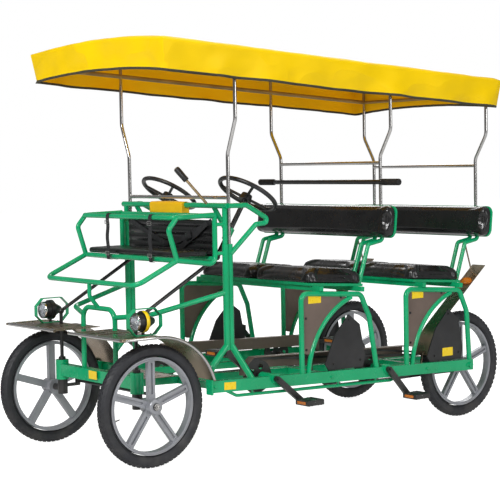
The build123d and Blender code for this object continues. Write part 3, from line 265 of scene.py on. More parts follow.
def creased(name, folds):
    """Adds broad soft creases under a cloth finish's own relief."""
    t = Shading(finishes[name].node_tree)
    relief = next(n for n in t.tree.nodes if n.bl_idname == "ShaderNodeBump")
    place = next(n for n in t.tree.nodes if n.bl_idname == "ShaderNodeMapping").outputs[0]
    # these broad creases share their scale with the canopy's darker mottle, which paints their shade
    wide = t.noise(place, 3.0, 1.0)
    lean = t.node(
        "ShaderNodeMapping", Vector=place, Rotation=(0.7, 0.5, 0.6), Scale=(1.0, 1.0, 1.7)
    ).outputs[0]
    ridge = t.maths("ABSOLUTE", t.maths("SUBTRACT", t.noise(lean, 3.4, 1.2), 0.5))
    both = t.maths("SUBTRACT", t.maths("MULTIPLY", wide, 1.4), t.maths("MULTIPLY", ridge, 2.2))
    made = t.node("ShaderNodeBump", Height=both, Strength=folds, Distance=0.03)
    t.feed(relief.inputs["Normal"], made.outputs[0])


def darker(value, share):
    return tuple(part * share for part in value)


SLOT_FINISHES = {
    "frame_paint": "green_enamel",
    "axle_steel": "axle_steel",
    "seat_vinyl": "black_vinyl",
    "webbing": "webbing",
    "sheet_steel": "deck_sheet",
    "black_plastic": "moulded_black",
    "lens_glass": "lamp_glass",
    "chrome_tube": "chrome",
    "canopy_cloth": "canopy_cloth",
    "black_metal": "satin_black",
    "grip_rubber": "foam_grip",
    "amber_plastic": "amber",
    "dash_vinyl": "yellow_vinyl",
    "rim_metal": "cast_silver",
    "tyre_rubber": "tyre_rubber",
}
NODE_FINISHES = {
    "side_panels": "panel_sheet",
    "chain_guards": "panel_sheet",
    "hand_brake": "brake_steel",
    "roof_frame": "roof_steel_painted_canopy_light",
}


class SURREY_OT_finishes(bpy.types.Operator):
    """Makes the finishes and gives every CAD part its own"""

    bl_idname = "surrey.finishes"
    bl_label = "Finishes"

    def execute(self, context):
        c = colours()
        make_groups()
        finish("green_enamel", c.enamel, c.enamel_deep, (0.16, 0.3), ("Cast skin", 90), 0.06, 0.0006,
               coat=0.25, wear=0.1, worn=(0.01, 0.25, 0.1), dust=0.06, dust_height=0.45,
               settings={"Specular IOR Level": 0.3})
        # the darker mottle, at the scale of the broad creases, is painted shade of the canopy's folds
        finish("canopy_cloth", c.canopy, darker(c.canopy, 0.88), (0.38, 0.5), ("Weave", 2600), 0.12, 0.0004,
               mottle=3.0, settings={"Specular IOR Level": 0.15})
        creased("canopy_cloth", 0.75)
        finish("canopy_inside_painted_light", c.canopy_inside_painted_light, darker(c.canopy_inside_painted_light, 0.85), (0.6, 0.75),
               ("Weave", 2600), 0.2, 0.0004, mottle=3.0,
               # a faint painted glow stands in for daylight that comes through the cloth; the darker mottle is
               # painted shade of the folds
               settings={"Specular IOR Level": 0.15, "Emission Color": (*c.canopy, 1),
                         "Emission Strength": 0.07})
        creased("canopy_inside_painted_light", 0.25)
        # the roof tubes' ochre tint is painted light: the yellow glow they take in the shade under the canopy
        finish("roof_steel_painted_canopy_light", (0.42, 0.28, 0.1), (0.3, 0.2, 0.08), (0.5, 0.62), ("Brushed", 90), 0.1, 0.0003,
               metallic=0.6, mottle=10.0)
        finish("hem_tape", c.hem, darker(c.hem, 0.7), (0.6, 0.8), ("Weave", 3400), 0.3, 0.0005, mottle=20.0)
        finish("black_vinyl", c.vinyl, darker(c.vinyl, 0.7), (0.25, 0.35), ("Grain", 420), 0.08, 0.0003,
               coat=0.3, mottle=9.0, settings={"Specular IOR Level": 0.35})
        finish("yellow_vinyl", c.pad, darker(c.pad, 0.9), (0.35, 0.5), ("Grain", 480), 0.2, 0.0005,
               mottle=12.0)
        finish("tyre_rubber", c.rubber, darker(c.rubber, 0.75), (0.5, 0.68), ("Tyre side", 1150), 0.12,
               0.0006, mottle=16.0, dust=0.1, dust_height=0.4)
        finish("cast_silver", c.cast, darker(c.cast, 0.86), (0.36, 0.5), ("Cast skin", 420), 0.15, 0.0005,
               metallic=0.45, coat=0.2, mottle=12.0, dust=0.12)
        finish("deck_sheet", c.deck, darker(c.deck, 0.8), (0.22, 0.38), ("Brushed", 70), 0.08, 0.0004,
               metallic=0.9, mottle=5.0, wear=0.2, worn=(0.6, 0.55, 0.48))
        finish("panel_sheet", c.panel, darker(c.panel, 0.8), (0.38, 0.52), ("Brushed", 80), 0.12, 0.0004,
               metallic=0.5, mottle=7.0, wear=0.2, worn=(0.4, 0.35, 0.3), dust=0.15)
        finish("chrome", (0.62, 0.61, 0.6), (0.5, 0.49, 0.48), (0.15, 0.2), ("Cast skin", 60), 0.01, 0.0002,
               metallic=1.0, mottle=2.0)
        finish("axle_steel", (0.5, 0.5, 0.5), (0.36, 0.36, 0.37), (0.25, 0.4), ("Brushed", 90), 0.1, 0.0003,
               metallic=1.0, mottle=14.0, dust=0.1)
        finish("brake_steel", (0.38, 0.28, 0.15), (0.25, 0.19, 0.11), (0.25, 0.4), ("Brushed", 90), 0.1,
               0.0003, metallic=0.9, mottle=14.0)
        finish("satin_black", (0.014, 0.014, 0.015), (0.008, 0.008, 0.008), (0.3, 0.45), ("Cast skin", 350),
               0.12, 0.0004, coat=0.2, mottle=12.0, wear=0.15, worn=(0.1, 0.1, 0.1), dust=0.12)
        finish("moulded_black", (0.018, 0.018, 0.02), (0.011, 0.011, 0.012), (0.3, 0.42), ("Grain", 700),
               0.1, 0.0003, mottle=10.0, dust=0.08)
        finish("foam_grip", (0.014, 0.013, 0.013), (0.008, 0.008, 0.008), (0.75, 0.9), ("Grain", 520), 0.5,
               0.0008, mottle=20.0)
        finish("webbing", (0.022, 0.022, 0.025), (0.012, 0.012, 0.014), (0.6, 0.75), ("Weave", 2400), 0.5,
               0.0006, mottle=30.0)
        finish("blank_plate", c.plate, darker(c.plate, 0.93), (0.25, 0.4), ("Cast skin", 160), 0.05, 0.0003,
               coat=0.3, mottle=20.0)
        finish("amber", c.amber, darker(c.amber, 0.7), (0.12, 0.25), ("Weave", 1500), 0.5, 0.0008, coat=0.6,
               mottle=20.0)
        finish("lamp_mirror", (0.85, 0.86, 0.9), (0.7, 0.72, 0.78), (0.08, 0.16), ("Cast skin", 120), 0.04,
               0.0003, metallic=0.8, mottle=40.0)
        finish("lamp_glass", (0.97, 0.98, 1.0), (0.93, 0.95, 0.98), (0.02, 0.06), ("Cast skin", 90), 0.1,
               0.0006, mottle=30.0, settings={"Transmission Weight": 0.92, "IOR": 1.3})
        finish("bulb", (0.95, 0.95, 0.9), (0.9, 0.88, 0.8), (0.1, 0.2), ("Cast skin", 60), 0.05, 0.0003,
               mottle=30.0)
        for name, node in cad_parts.items():
            for place, material in enumerate(node.data.materials):
                label = NODE_FINISHES.get(name) or SLOT_FINISHES[material.name.split(".")[0]]
                node.data.materials[place] = finishes[label]
        return {"FINISHED"}


# Building pieces


def piece_from(bm, name, labels, body, smooth=35.0):
    """Links a finished bmesh as a piece that rides on a body, shaded smooth up to an angle."""
    mesh = bpy.data.meshes.new(name)
    bm.to_mesh(mesh)
    bm.free()
    for label in labels:
        mesh.materials.append(finishes[label])
    made = bpy.data.objects.new(name, mesh)
    bpy.context.scene.collection.objects.link(made)
    if smooth:
        mesh.shade_smooth()
        mesh.set_sharp_from_angle(angle=radians(smooth))
    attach(made, body)
    return made


def box_in(bm, low, high, rounding=0.0, segments=2, turn=None):
    """Adds a box between two corners with rounded edges, turned by a matrix when one is given."""
    low, high = Vector(low), Vector(high)
    made = bmesh.ops.create_cube(bm, size=1.0)["verts"]
    bmesh.ops.scale(bm, vec=high - low, verts=made)
    bmesh.ops.translate(bm, vec=(low + high) / 2, verts=made)
    if rounding:
        edges = list({e for v in made for e in v.link_edges})
        out = bmesh.ops.bevel(bm, geom=edges, offset=rounding, segments=segments, profile=0.5,
                              affect="EDGES", material=-1)
        made = list({v for f in out["faces"] for v in f.verts} | {v for v in made if v.is_valid})
    if turn is not None:
        bmesh.ops.transform(bm, matrix=turn, verts=made)
    return made


def turned_in(bm, profile, place, steps=32):
    """Adds a body turned from (radius, height) points about the z axis of a place."""
    verts = [bm.verts.new((radius, 0, height)) for radius, height in profile]
    edges = [bm.edges.new(pair) for pair in zip(verts, verts[1:])]
    out = bmesh.ops.spin(bm, geom=verts + edges, cent=(0, 0, 0), axis=(0, 0, 1), angle=2 * pi,
                         steps=steps, use_merge=True, use_duplicate=False)
    stack = [g for g in verts + out["geom_last"] if isinstance(g, bmesh.types.BMVert) and g.is_valid]
    linked = set()
    while stack:
        vertex = stack.pop()
        if vertex not in linked:
            linked.add(vertex)
            stack.extend(e.other_vert(vertex) for e in vertex.link_edges)
    linked = list(linked)
    bmesh.ops.transform(bm, matrix=place, verts=linked)
    bmesh.ops.remove_doubles(bm, verts=linked, dist=1e-6)
    faces = list({f for v in linked if v.is_valid for f in v.link_faces})
    bmesh.ops.recalc_face_normals(bm, faces=faces)
    return [v for v in linked if v.is_valid]


def facing(point, direction, up=(0, 0, 1)):
    """A place at a point whose z axis looks along a direction."""
    z = Vector(direction).normalized()
    x = Vector(up).cross(z)
    x = x.normalized() if x.length > 1e-6 else Vector((1, 0, 0))
    turn = Matrix((x, z.cross(x), z)).transposed().to_4x4()
    return Matrix.Translation(point) @ turn


def bolt_in(bm, point, direction, size=0.006):
    """Adds a washer and a hexagon head that stand on a surface."""
    place = facing(point, direction)
    turned_in(bm, [(0.0, 0), (size * 1.5, 0), (size * 1.5, size * 0.22), (0.0, size * 0.22)], place, 16)
    out = bmesh.ops.create_cone(bm, cap_ends=True, segments=6, radius1=size, radius2=size * 0.96,
                                depth=size * 0.8, matrix=place @ Matrix.Translation((0, 0, size * 0.62)))
    return out["verts"]


def band_in(bm, points, width_along, thickness):
    """Adds a flat strap through points, its width lying along one direction."""
    across = Vector(width_along) / 2
    points = [Vector(p) for p in points]
    first = bm.verts.new(points[0] - across), bm.verts.new(points[0] + across)
    edge = bm.edges.new(first)
    faces = []
    for start, end in zip(points, points[1:]):
        out = bmesh.ops.extrude_edge_only(bm, edges=[edge])["geom"]
        fresh = [v for v in out if isinstance(v, bmesh.types.BMVert)]
        bmesh.ops.translate(bm, vec=end - start, verts=fresh)
        edge = next(e for e in out if isinstance(e, bmesh.types.BMEdge) and all(v in fresh for v in e.verts))
        faces += [f for f in out if isinstance(f, bmesh.types.BMFace)]
    bmesh.ops.recalc_face_normals(bm, faces=faces)
    bmesh.ops.solidify(bm, geom=faces, thickness=thickness)


def rail_z(y):
    """Height of the side rails' centre line at y."""
    return AXLE_Z + (AXLE_Y - y) * RAIL_SLOPE


# Canopy

ROOF_HALF = 0.530
ROOF_ENDS = (-0.905, 1.086)
SKIRT = 0.146
TUBE_ROOM = 0.004


def roof_z(y):
    return 1.768 - (y + 0.905) * 0.0675


def dip(y, bows=(-0.80, -0.474, 0.02, 0.429, 0.78, 1.067)):
    """0 at each bow and 1 midway between two."""
    for low, high in zip(bows, bows[1:]):
        if low <= y <= high:
            return sin(pi * (y - low) / (high - low)) ** 2
    return 0.0


class SURREY_OT_canopy(bpy.types.Operator):
    """Builds the canopy as one sheet with four hanging skirts and a bound hem"""

    bl_idname = "surrey.canopy"
    bl_label = "Canopy"

    def execute(self, context):
        s = sizes()
        bm = bmesh.new()
        middle, half = sum(ROOF_ENDS) / 2, (ROOF_ENDS[1] - ROOF_ENDS[0]) / 2
        bmesh.ops.create_grid(bm, x_segments=44, y_segments=76, size=1.0)
        for v in bm.verts:
            x, y = v.co.x * (ROOF_HALF - 0.004), middle + v.co.y * (half - 0.004)
            crown = 0.026 * (1 - (x / ROOF_HALF) ** 2)
            edge = max(abs(x) - ROOF_HALF + 0.03, 0, ROOF_ENDS[0] + 0.03 - y, y - ROOF_ENDS[1] + 0.03) / 0.03
            z = roof_z(y) + crown - 0.012 * edge**2 - s.sag * dip(y) * (1 - (x / ROOF_HALF) ** 4)
            broad, small = Vector((x * 5, y * 4, 3.1)), Vector((x * 17, y * 13, 8))
            z += 0.0028 * noise.noise(broad) + 0.0012 * noise.noise(small)
            v.co = Vector((x, y, z - 0.001))
        rim = [e for e in bm.edges if e.is_boundary]
        rows = 10
        steps = [0.006] + [(SKIRT - 0.021 - s.hem_height) / (rows - 2)] * (rows - 2) + [s.hem_height]
        hem_faces, fallen = [], 0.0
        tubes_low, tubes_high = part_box("roof_frame")
        for row, step in enumerate(steps):
            out = bmesh.ops.extrude_edge_only(bm, edges=rim)["geom"]
            fresh = [v for v in out if isinstance(v, bmesh.types.BMVert)]
            rim = [e for e in out if isinstance(e, bmesh.types.BMEdge) and e.is_boundary]
            fallen += step
            share = min(1.0, fallen / SKIRT)
            for v in fresh:
                x, y, z = v.co
                to_end = min(y - ROOF_ENDS[0], ROOF_ENDS[1] - y)
                side = 1 if abs(abs(x) - ROOF_HALF) < abs(to_end) + 0.001 else 0
                run = y if side else x
                from_corner = min(abs(y - ROOF_ENDS[0]), abs(y - ROOF_ENDS[1])) if side else ROOF_HALF - abs(x)
                corner = min(1.0, from_corner / 0.12)
                x_way, y_way = 1 if x > 0 else -1, 1 if y > middle else -1
                sway = noise.noise(Vector((run * 6.5, row * 0.09, side * 5 + (1 if x > 0 else 2))))
                sway += 0.5 * noise.noise(Vector((run * 19 + row * 0.7, row * 0.3, side * 7)))
                out_by = s.skirt_wave * share * (sway - 0.4) * corner + (0.003 if row == 0 else 0)
                outward = Vector((x_way, 0, 0)) if side else Vector((0, y_way, 0))
                tuck = 0.026 * (share - max(0.0, (fallen - step) / SKIRT)) * (1 - corner) ** 2
                v.co += outward * out_by - tuck * Vector((x_way, y_way, 0))
                if side:
                    v.co.x = x_way * max(abs(v.co.x), tubes_high.x + TUBE_ROOM)
                elif y > middle:
                    v.co.y = max(v.co.y, tubes_high.y + TUBE_ROOM)
                else:
                    v.co.y = min(v.co.y, tubes_low.y - TUBE_ROOM)
                ragged = 0.0008 * noise.noise(Vector((run * 9, 4.2, side))) if row == rows - 1 else 0
                v.co.z -= step + ragged
            if row == rows - 1:
                hem_faces = [f for f in out if isinstance(f, bmesh.types.BMFace)]
        for f in hem_faces:
            f.material_index = 2
        bmesh.ops.recalc_face_normals(bm, faces=bm.faces)
        if sum(f.normal.z for f in bm.faces) < 0:
            bmesh.ops.reverse_faces(bm, faces=bm.faces)
        canopy = piece_from(bm, "canopy_sheet", ["canopy_cloth", "canopy_inside_painted_light", "hem_tape", "hem_tape"],
                            "chassis", smooth=60.0)
        thick = canopy.modifiers.new("Cloth thickness", "SOLIDIFY")
        thick.thickness, thick.offset, thick.material_offset, thick.material_offset_rim = 0.0016, -1.0, 1, 1
        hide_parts("canopy")
        return {"FINISHED"}


# Padded pieces


def padded_slab(name, size, corner, roundings, voxel=0.006):
    """A remeshed slab with rounded corners, standing from z = 0 about the middle of x and y."""
    wide, deep, high = size
    bm = bmesh.new()
    box_in(bm, (-wide / 2, -deep / 2, 0), (wide / 2, deep / 2, high))
    uprights = [e for e in bm.edges if abs(e.verts[0].co.z - e.verts[1].co.z) > high / 2]
    bmesh.ops.bevel(bm, geom=uprights, offset=corner, segments=8, profile=0.5, affect="EDGES", material=-1)
    for level, rounding in zip((high, 0.0), roundings):
        ring = [e for e in bm.edges if all(abs(v.co.z - level) < 1e-6 for v in e.verts)]
        bmesh.ops.bevel(bm, geom=ring, offset=rounding, segments=4, profile=0.5, affect="EDGES", material=-1)
    mesh = bpy.data.meshes.new(name)
    bm.to_mesh(mesh)
    bm.free()
    return remeshed(mesh, name, voxel)


def remeshed(mesh, name, voxel):
    """An object with an even skin over a closed mesh."""
    made = bpy.data.objects.new(name, mesh)
    bpy.context.scene.collection.objects.link(made)
    skin = made.modifiers.new("Skin", "REMESH")
    skin.mode, skin.voxel_size = "VOXEL", voxel
    return settled(made)


def settled(made):
    """Applies the modifiers of an object to its mesh."""
    bpy.context.view_layer.update()
    result = bpy.data.meshes.new_from_object(made.evaluated_get(bpy.context.evaluated_depsgraph_get()))
    made.modifiers.clear()
    made.data = result
    return made


def swell(made, cap, held_below, pressure=4.0):
    """Blows a skin up as filled cloth, holding its base, and caps how far a point moves."""
    scene = bpy.context.scene
    start = [v.co.copy() for v in made.data.vertices]
    group = made.vertex_groups.new(name="base")
    group.add([v.index for v in made.data.vertices if v.co.z < held_below], 1.0, "REPLACE")
    cloth = made.modifiers.new("Cloth", "CLOTH")
    cloth.settings.quality = 4
    cloth.settings.use_pressure = True
    cloth.settings.uniform_pressure_force = pressure
    cloth.settings.vertex_group_mass = "base"
    cloth.settings.effector_weights.gravity = 0.0
    cloth.collision_settings.use_collision = False
    for step in range(1, 21):
        scene.frame_set(step)
    settled(made)
    scene.frame_set(1)
    for v, rest in zip(made.data.vertices, start):
        move = v.co - rest
        if move.length > cap:
            v.co = rest + move.normalized() * cap
    return made


def pressed(mesh, tubes):
    """Moves the points of a pad back from the tubes (start, end, radius) it meets."""
    for v in mesh.vertices:
        for start, end, radius in tubes:
            near, share = geometry.intersect_point_line(v.co, start, end)
            gap = v.co - near
            if -0.05 < share < 1.05 and 1e-6 < gap.length < radius:
                v.co = near + gap.normalized() * radius


def set_down(source, name, place, tubes=()):
    """A copy of a pad's mesh set in its place, pressed back from the tubes it meets."""
    mesh = source.data.copy()
    mesh.transform(place)
    pressed(mesh, tubes)
    made = bpy.data.objects.new(name, mesh)
    bpy.context.scene.collection.objects.link(made)
    return made


def dress(made, label, body):
    """Finishes a pad: shading, one subdivision, finish and body."""
    made.data.materials.clear()
    made.data.materials.append(finishes[label])
    made.data.shade_smooth()
    finer = made.modifiers.new("Finer", "SUBSURF")
    finer.levels = finer.render_levels = 1
    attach(made, body)


BENCHES = (("front", 0.0, 0.0), ("rear", BENCH_PITCH, -BENCH_DROP))


def seat_place(dy, dz):
    return Matrix.Translation((0, -0.066 + dy, 0.712 + dz)) @ Matrix.Rotation(radians(-4), 4, "X")


def back_place(dy, dz):
    return Matrix.Translation((0, 0.345 + dy, 0.902 + dz)) @ Matrix.Rotation(radians(84), 4, "X")


def seat_tubes(dy, dz):
    """The back supports that the cushions are pressed against."""
    return [
        (Vector((side * x, 0.262 + dy, 0.682 + dz)), Vector((side * x, 0.326 + dy, 0.866 + dz)), 0.0115)
        for side in (1, -1) for x in (0.388, 0.340)
    ]


class SURREY_OT_seats(bpy.types.Operator):
    """Builds the four seat cushions from one cushion filled as cloth"""

    bl_idname = "surrey.seats"
    bl_label = "Seat cushions"

    def execute(self, context):
        rise = sizes().cushion_rise
        cushion = padded_slab("cushion_form", (0.406, 0.334, 0.052), 0.042, (0.022, 0.009))
        swell(cushion, rise, 0.004)
        for v in cushion.data.vertices:
            x, y, z = v.co
            edge = max(abs(x) / 0.209, abs(y) / 0.173)
            if z > 0.03:
                v.co.z += 0.004 * (1 - min(1, edge) ** 2)
            v.co.z = max(0.0006, min(v.co.z, 0.0665))
            v.co.x = max(-0.2085, min(0.2085, x + 0.0012 * noise.noise(Vector((y * 40, z * 25, 2)))))
            v.co.y = max(-0.1725, min(0.1725, y + 0.0012 * noise.noise(Vector((x * 40, z * 25, 6)))))
            if 0.010 < z < 0.018 and edge > 0.93:
                v.co -= Vector((x, y, 0)).normalized() * 0.0016
        for end, dy, dz in BENCHES:
            for hand, side in SIDES:
                place = seat_place(dy, dz) @ Matrix.Translation((side * 0.210, 0.173, 0))
                made = set_down(cushion, f"{end}_{hand}_cushion", place, seat_tubes(dy, dz))
                dress(made, "black_vinyl", "chassis")
                if hand == "left":
                    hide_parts(f"{end}_seats")
        bpy.data.objects.remove(cushion)
        return {"FINISHED"}


class SURREY_OT_backrests(bpy.types.Operator):
    """Builds both backrest pads from one pad filled as cloth"""

    bl_idname = "surrey.backrests"
    bl_label = "Backrests"

    def execute(self, context):
        rest = padded_slab("backrest_form", (0.976, 0.147, 0.044), 0.034, (0.016, 0.002))
        swell(rest, 0.006, 0.004, 3.0)
        for v in rest.data.vertices:
            x, y, z = v.co
            v.co.x = max(-0.4895, min(0.4895, x + 0.001 * noise.noise(Vector((y * 30, z * 20, 1)))))
            v.co.y = max(-0.0757, min(0.0757, y))
            v.co.z = max(0.0004, min(z, 0.0495))
            if abs(abs(x) - 0.444) < 0.0035 and z > 0.012:
                v.co.z -= 0.0016
        for end, dy, dz in BENCHES:
            place = back_place(dy, dz) @ Matrix.Translation((0, 0.072, -0.048))
            made = set_down(rest, f"{end}_backrest_pad", place)
            dress(made, "black_vinyl", "chassis")
            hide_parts(f"{end}_backrest")
        bpy.data.objects.remove(rest)
        return {"FINISHED"}


STRAP_XS = (-0.130, 0.203)


class SURREY_OT_child_seat(bpy.types.Operator):
    """Builds the small front seat: ribbed pad, cushion, upright straps and belts"""

    bl_idname = "surrey.child_seat"
    bl_label = "Child seat"

    def execute(self, context):
        back = padded_slab("child_back_pad", (0.664, 0.172, 0.0225), 0.02, (0.006, 0.004), 0.005)
        back.data.transform(Matrix.Translation((0, -0.5, 0.921)) @ Matrix.Rotation(radians(90), 4, "X"))
        for v in back.data.vertices:
            x, y, z = v.co
            if y < -0.512:
                rib = abs(sin(pi * (z - 0.835) / 0.0345)) ** 0.5
                rim = min(1.0, (0.332 - abs(x)) / 0.012)
                v.co.y = -0.5165 - 0.0068 * rib * max(0.0, rim)
                if abs(abs(x) - 0.312) < 0.004:
                    v.co.y += 0.003
        pressed(back.data, [
            (Vector((side * 0.300, -0.4814, 0.845)), Vector((side * 0.300, -0.910, 0.604)), 0.0105)
            for side in (1, -1)
        ])
        dress(back, "black_vinyl", "chassis")
        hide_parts("child_back")
        low = padded_slab("child_cushion_pad", (0.672, 0.19, 0.024), 0.016, (0.010, 0.006), 0.005)
        low.data.transform(Matrix.Translation((0, -0.644, 0.8574)))
        for v in low.data.vertices:
            x, y, z = v.co
            if z > 0.868:
                v.co.z += 0.0035 * (1 - (x / 0.338) ** 4) * (1 - ((y + 0.644) / 0.097) ** 2)
                v.co.z += 0.0008 * noise.noise(Vector((x * 22, y * 30, 1)))
        dress(low, "black_vinyl", "chassis")
        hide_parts("child_cushion")

        bm = bmesh.new()
        for x in STRAP_XS:
            path = [(x, -0.7450, 1.0392), (x, -0.7560, 1.0388), (x + 0.0005, -0.7625, 1.028)]
            path += [
                (x + 0.002 * sin(i * 1.1), -0.7632 + 0.0012 * sin(i * 0.9), 1.010 - i * 0.0165)
                for i in range(10)
            ]
            path += [(x, -0.7630, 0.846), (x, -0.7600, 0.834), (x, -0.7480, 0.8325)]
            band_in(bm, path, (0.025, 0, 0), 0.0018)
        straps = piece_from(bm, "front_straps", ["webbing"], "chassis", smooth=40.0)
        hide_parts("child_straps")
        bm = bmesh.new()
        for x in STRAP_XS:
            for z in (0.862, 1.000):
                for low_x, high_x, low_z, high_z in (
                    (-0.016, 0.016, 0.006, 0.009), (-0.016, 0.016, -0.009, -0.006),
                    (-0.016, -0.013, -0.009, 0.009), (0.013, 0.016, -0.009, 0.009),
                    (-0.016, 0.016, -0.0012, 0.0012),
                ):
                    box_in(bm, (x + low_x, -0.7672, z + low_z), (x + high_x, -0.7648, z + high_z), 0.0006, 1)
        piece_from(bm, "strap_buckles", ["chrome"], "chassis")

        bm = bmesh.new()
        belts = (
            [(0.326, 1.004), (0.250, 0.972), (0.160, 0.940), (0.070, 0.912), (0.006, 0.899)],
            [(-0.300, 1.002), (-0.252, 0.978), (-0.170, 0.946), (-0.080, 0.916), (-0.016, 0.899)],
            [(0.300, 0.996), (0.216, 0.944), (0.150, 0.912), (0.105, 0.886), (0.092, 0.868)],
        )
        for number, line in enumerate(belts):
            lean = Vector((line[-1][0] - line[0][0], 0, line[-1][1] - line[0][1])).normalized()
            across = Vector((-lean.z, 0, lean.x)) * 0.024
            band_in(bm, [(x, -0.5262 - 0.0028 * number, z) for x, z in line], across, 0.0016)
        piece_from(bm, "harness_belts", ["webbing"], "chassis", smooth=40.0)
        bm = bmesh.new()
        box_in(bm, (-0.026, -0.541, 0.886), (0.016, -0.531, 0.912), 0.003, 2)
        box_in(bm, (0.150, -0.541, 0.921), (0.190, -0.5345, 0.955), 0.002, 2,
               Matrix.Translation((0.17, 0, 0.938)) @ Matrix.Rotation(radians(-22), 4, "Y")
               @ Matrix.Translation((-0.17, 0, -0.938)))
        piece_from(bm, "belt_buckles", ["moulded_black"], "chassis")
        return {"FINISHED"}


class SURREY_OT_dash_pad(bpy.types.Operator):
    """Builds the soft pad that wraps the middle of the dash tube"""

    bl_idname = "surrey.dash_pad"
    bl_label = "Dash pad"

    def execute(self, context):
        bm = bmesh.new()
        bm.from_mesh(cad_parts["dash_pad"].data)
        bmesh.ops.remove_doubles(bm, verts=bm.verts, dist=1e-5)
        mesh = bpy.data.meshes.new("dash_pad_soft")
        bm.to_mesh(mesh)
        bm.free()
        pad = remeshed(mesh, "dash_pad_soft", 0.004)
        for v in pad.data.vertices:
            x, y, z = v.co
            from_tube = hypot(y + 0.496, z - 1.069)
            if from_tube < 0.0145:
                continue
            dents = noise.noise(Vector((x * 18, y * 30, z * 14)))
            bulge = 0.0022 * (1 - ((x + 0.025) / 0.125) ** 4) + 0.0016 * dents
            out = Vector((0, y + 0.5, (z - 1.05) * 0.4))
            v.co += out.normalized() * bulge if out.length > 1e-6 else Vector()
            if abs(z - 1.028) < 0.003:
                v.co.y += 0.0016 if y < -0.5 else -0.0016
        dress(pad, "yellow_vinyl", "chassis")
        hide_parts("dash_pad")
        return {"FINISHED"}


# Wheels

HUBS = [
    (f"{end}_{hand}", side * x, y, hand)
    for end, x, y in (("front", 0.400, -AXLE_Y), ("rear", 0.394, AXLE_Y)) for hand, side in SIDES
]


class SURREY_OT_tyres(bpy.types.Operator):
    """Builds the four tyres with their sidewall beads and tread blocks"""

    bl_idname = "surrey.tyres"
    bl_label = "Tyres"

    def execute(self, context):
        s = sizes()
        centre, radius = 0.230, 0.027 - s.tread_depth
        for name, x, y, hand in HUBS:
            bm = bmesh.new()
            lean = Matrix.Rotation(radians(90), 4, "Y")
            hub = Matrix.Translation((x, y, AXLE_Z)) @ lean
            ring = []
            for step in range(28):
                angle = 2 * pi * step / 28
                extra = 0.0009 if step in (5, 9, 19, 23) else 0.0
                ring.append((centre + (radius + extra) * cos(angle), (radius + extra) * sin(angle)))
            turned_in(bm, [*ring, ring[0]], hub, 96)
            count = s.tread_count
            rows = ((-0.0165, 38), (-0.0055, -38), (0.0055, 38), (0.0165, -38))
            for row, (offset, skew) in enumerate(rows):
                reach = centre + radius * cos(offset / radius)
                tip = offset / radius
                for step in range(count):
                    angle = 2 * pi * (step + 0.5 * (row % 2)) / count
                    block = bmesh.ops.create_cube(bm, size=1.0)["verts"]
                    bmesh.ops.scale(bm, vec=(0.0056, 0.0150, s.tread_depth * 1.6), verts=block)
                    place = (
                        Matrix.Translation((x, y, AXLE_Z)) @ Matrix.Rotation(angle, 4, "X")
                        @ Matrix.Translation((radius * sin(tip), 0, reach))
                        @ Matrix.Rotation(tip, 4, "Y")
                        @ Matrix.Translation((0, 0, s.tread_depth * 0.18))
                        @ Matrix.Rotation(radians(skew), 4, "Z")
                    )
                    bmesh.ops.transform(bm, matrix=place, verts=block)
            tyre = piece_from(bm, f"{name}_tyre_tread", ["tyre_rubber"], f"{name}_wheel",
                              smooth=30.0)
            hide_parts(f"{name}_tyre")
        return {"FINISHED"}


class SURREY_OT_wheel_trim(bpy.types.Operator):
    """Adds hub rings, axle nuts, valve stems and bead lines to the wheels"""

    bl_idname = "surrey.wheel_trim"
    bl_label = "Wheel trim"

    def execute(self, context):
        for name, x, y, hand in HUBS:
            side = 1 if x > 0 else -1
            bm = bmesh.new()
            out_x = x + side * 0.0362
            face = facing((out_x, y, AXLE_Z), (side, 0, 0))
            ring = [(0.0145, 0), (0.0145, 0.003), (0.020, 0.0045), (0.0285, 0.0025), (0.0305, 0)]
            turned_in(bm, ring, face, 40)
            lip = facing((x + side * 0.0172, y, AXLE_Z), (side, 0, 0))
            turned_in(bm, [(0.1905, 0), (0.1915, 0.0022), (0.1955, 0.0022), (0.1965, 0)], lip, 72)
            piece_from(bm, f"{name}_hub_ring", ["cast_silver"], f"{name}_wheel")
            bm = bmesh.new()
            spin = radians(-104 if hand == "left" else 76) + (0.9 if "rear" in name else 0.0)
            base = Vector((x, y + 0.1895 * sin(spin), AXLE_Z + 0.1895 * cos(spin)))
            inward = (Vector((x, y, AXLE_Z)) - base).normalized()
            stem = [(0.0, 0.030), (0.0024, 0.030), (0.0028, 0.020), (0.0028, 0.014), (0.0034, 0.004),
                    (0.0052, 0), (0.0, -0.001)]
            turned_in(bm, stem, facing(base, inward, (1, 0, 0)), 12)
            piece_from(bm, f"{name}_valve", ["satin_black"], f"{name}_wheel")
            body = f"knuckle_{hand}" if "front" in name else "chassis"
            axle = f"{hand}_knuckle" if "front" in name else "rear_axle"
            low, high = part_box(axle)
            tip = (high.x if side > 0 else low.x) - side * 0.004
            tip = side * min(max(abs(tip), abs(out_x) + 0.0055), abs(out_x) + 0.012)
            bm = bmesh.new()
            place = facing((tip, y, AXLE_Z), (side, 0, 0))
            turned_in(bm, [(0.0, 0.0005), (0.0135, 0.0005), (0.0135, 0.0022), (0.0, 0.0022)], place, 24)
            bmesh.ops.create_cone(bm, cap_ends=True, segments=6, radius1=0.0112, radius2=0.0108, depth=0.007,
                                  matrix=place @ Matrix.Translation((0, 0, 0.0057)))
            turned_in(bm, [(0.0075, 0.0085), (0.0068, 0.0125), (0.0035, 0.0145), (0.0, 0.015)], place, 20)
            piece_from(bm, f"{name}_axle_nut", ["chrome"], body)
        return {"FINISHED"}


# Trim


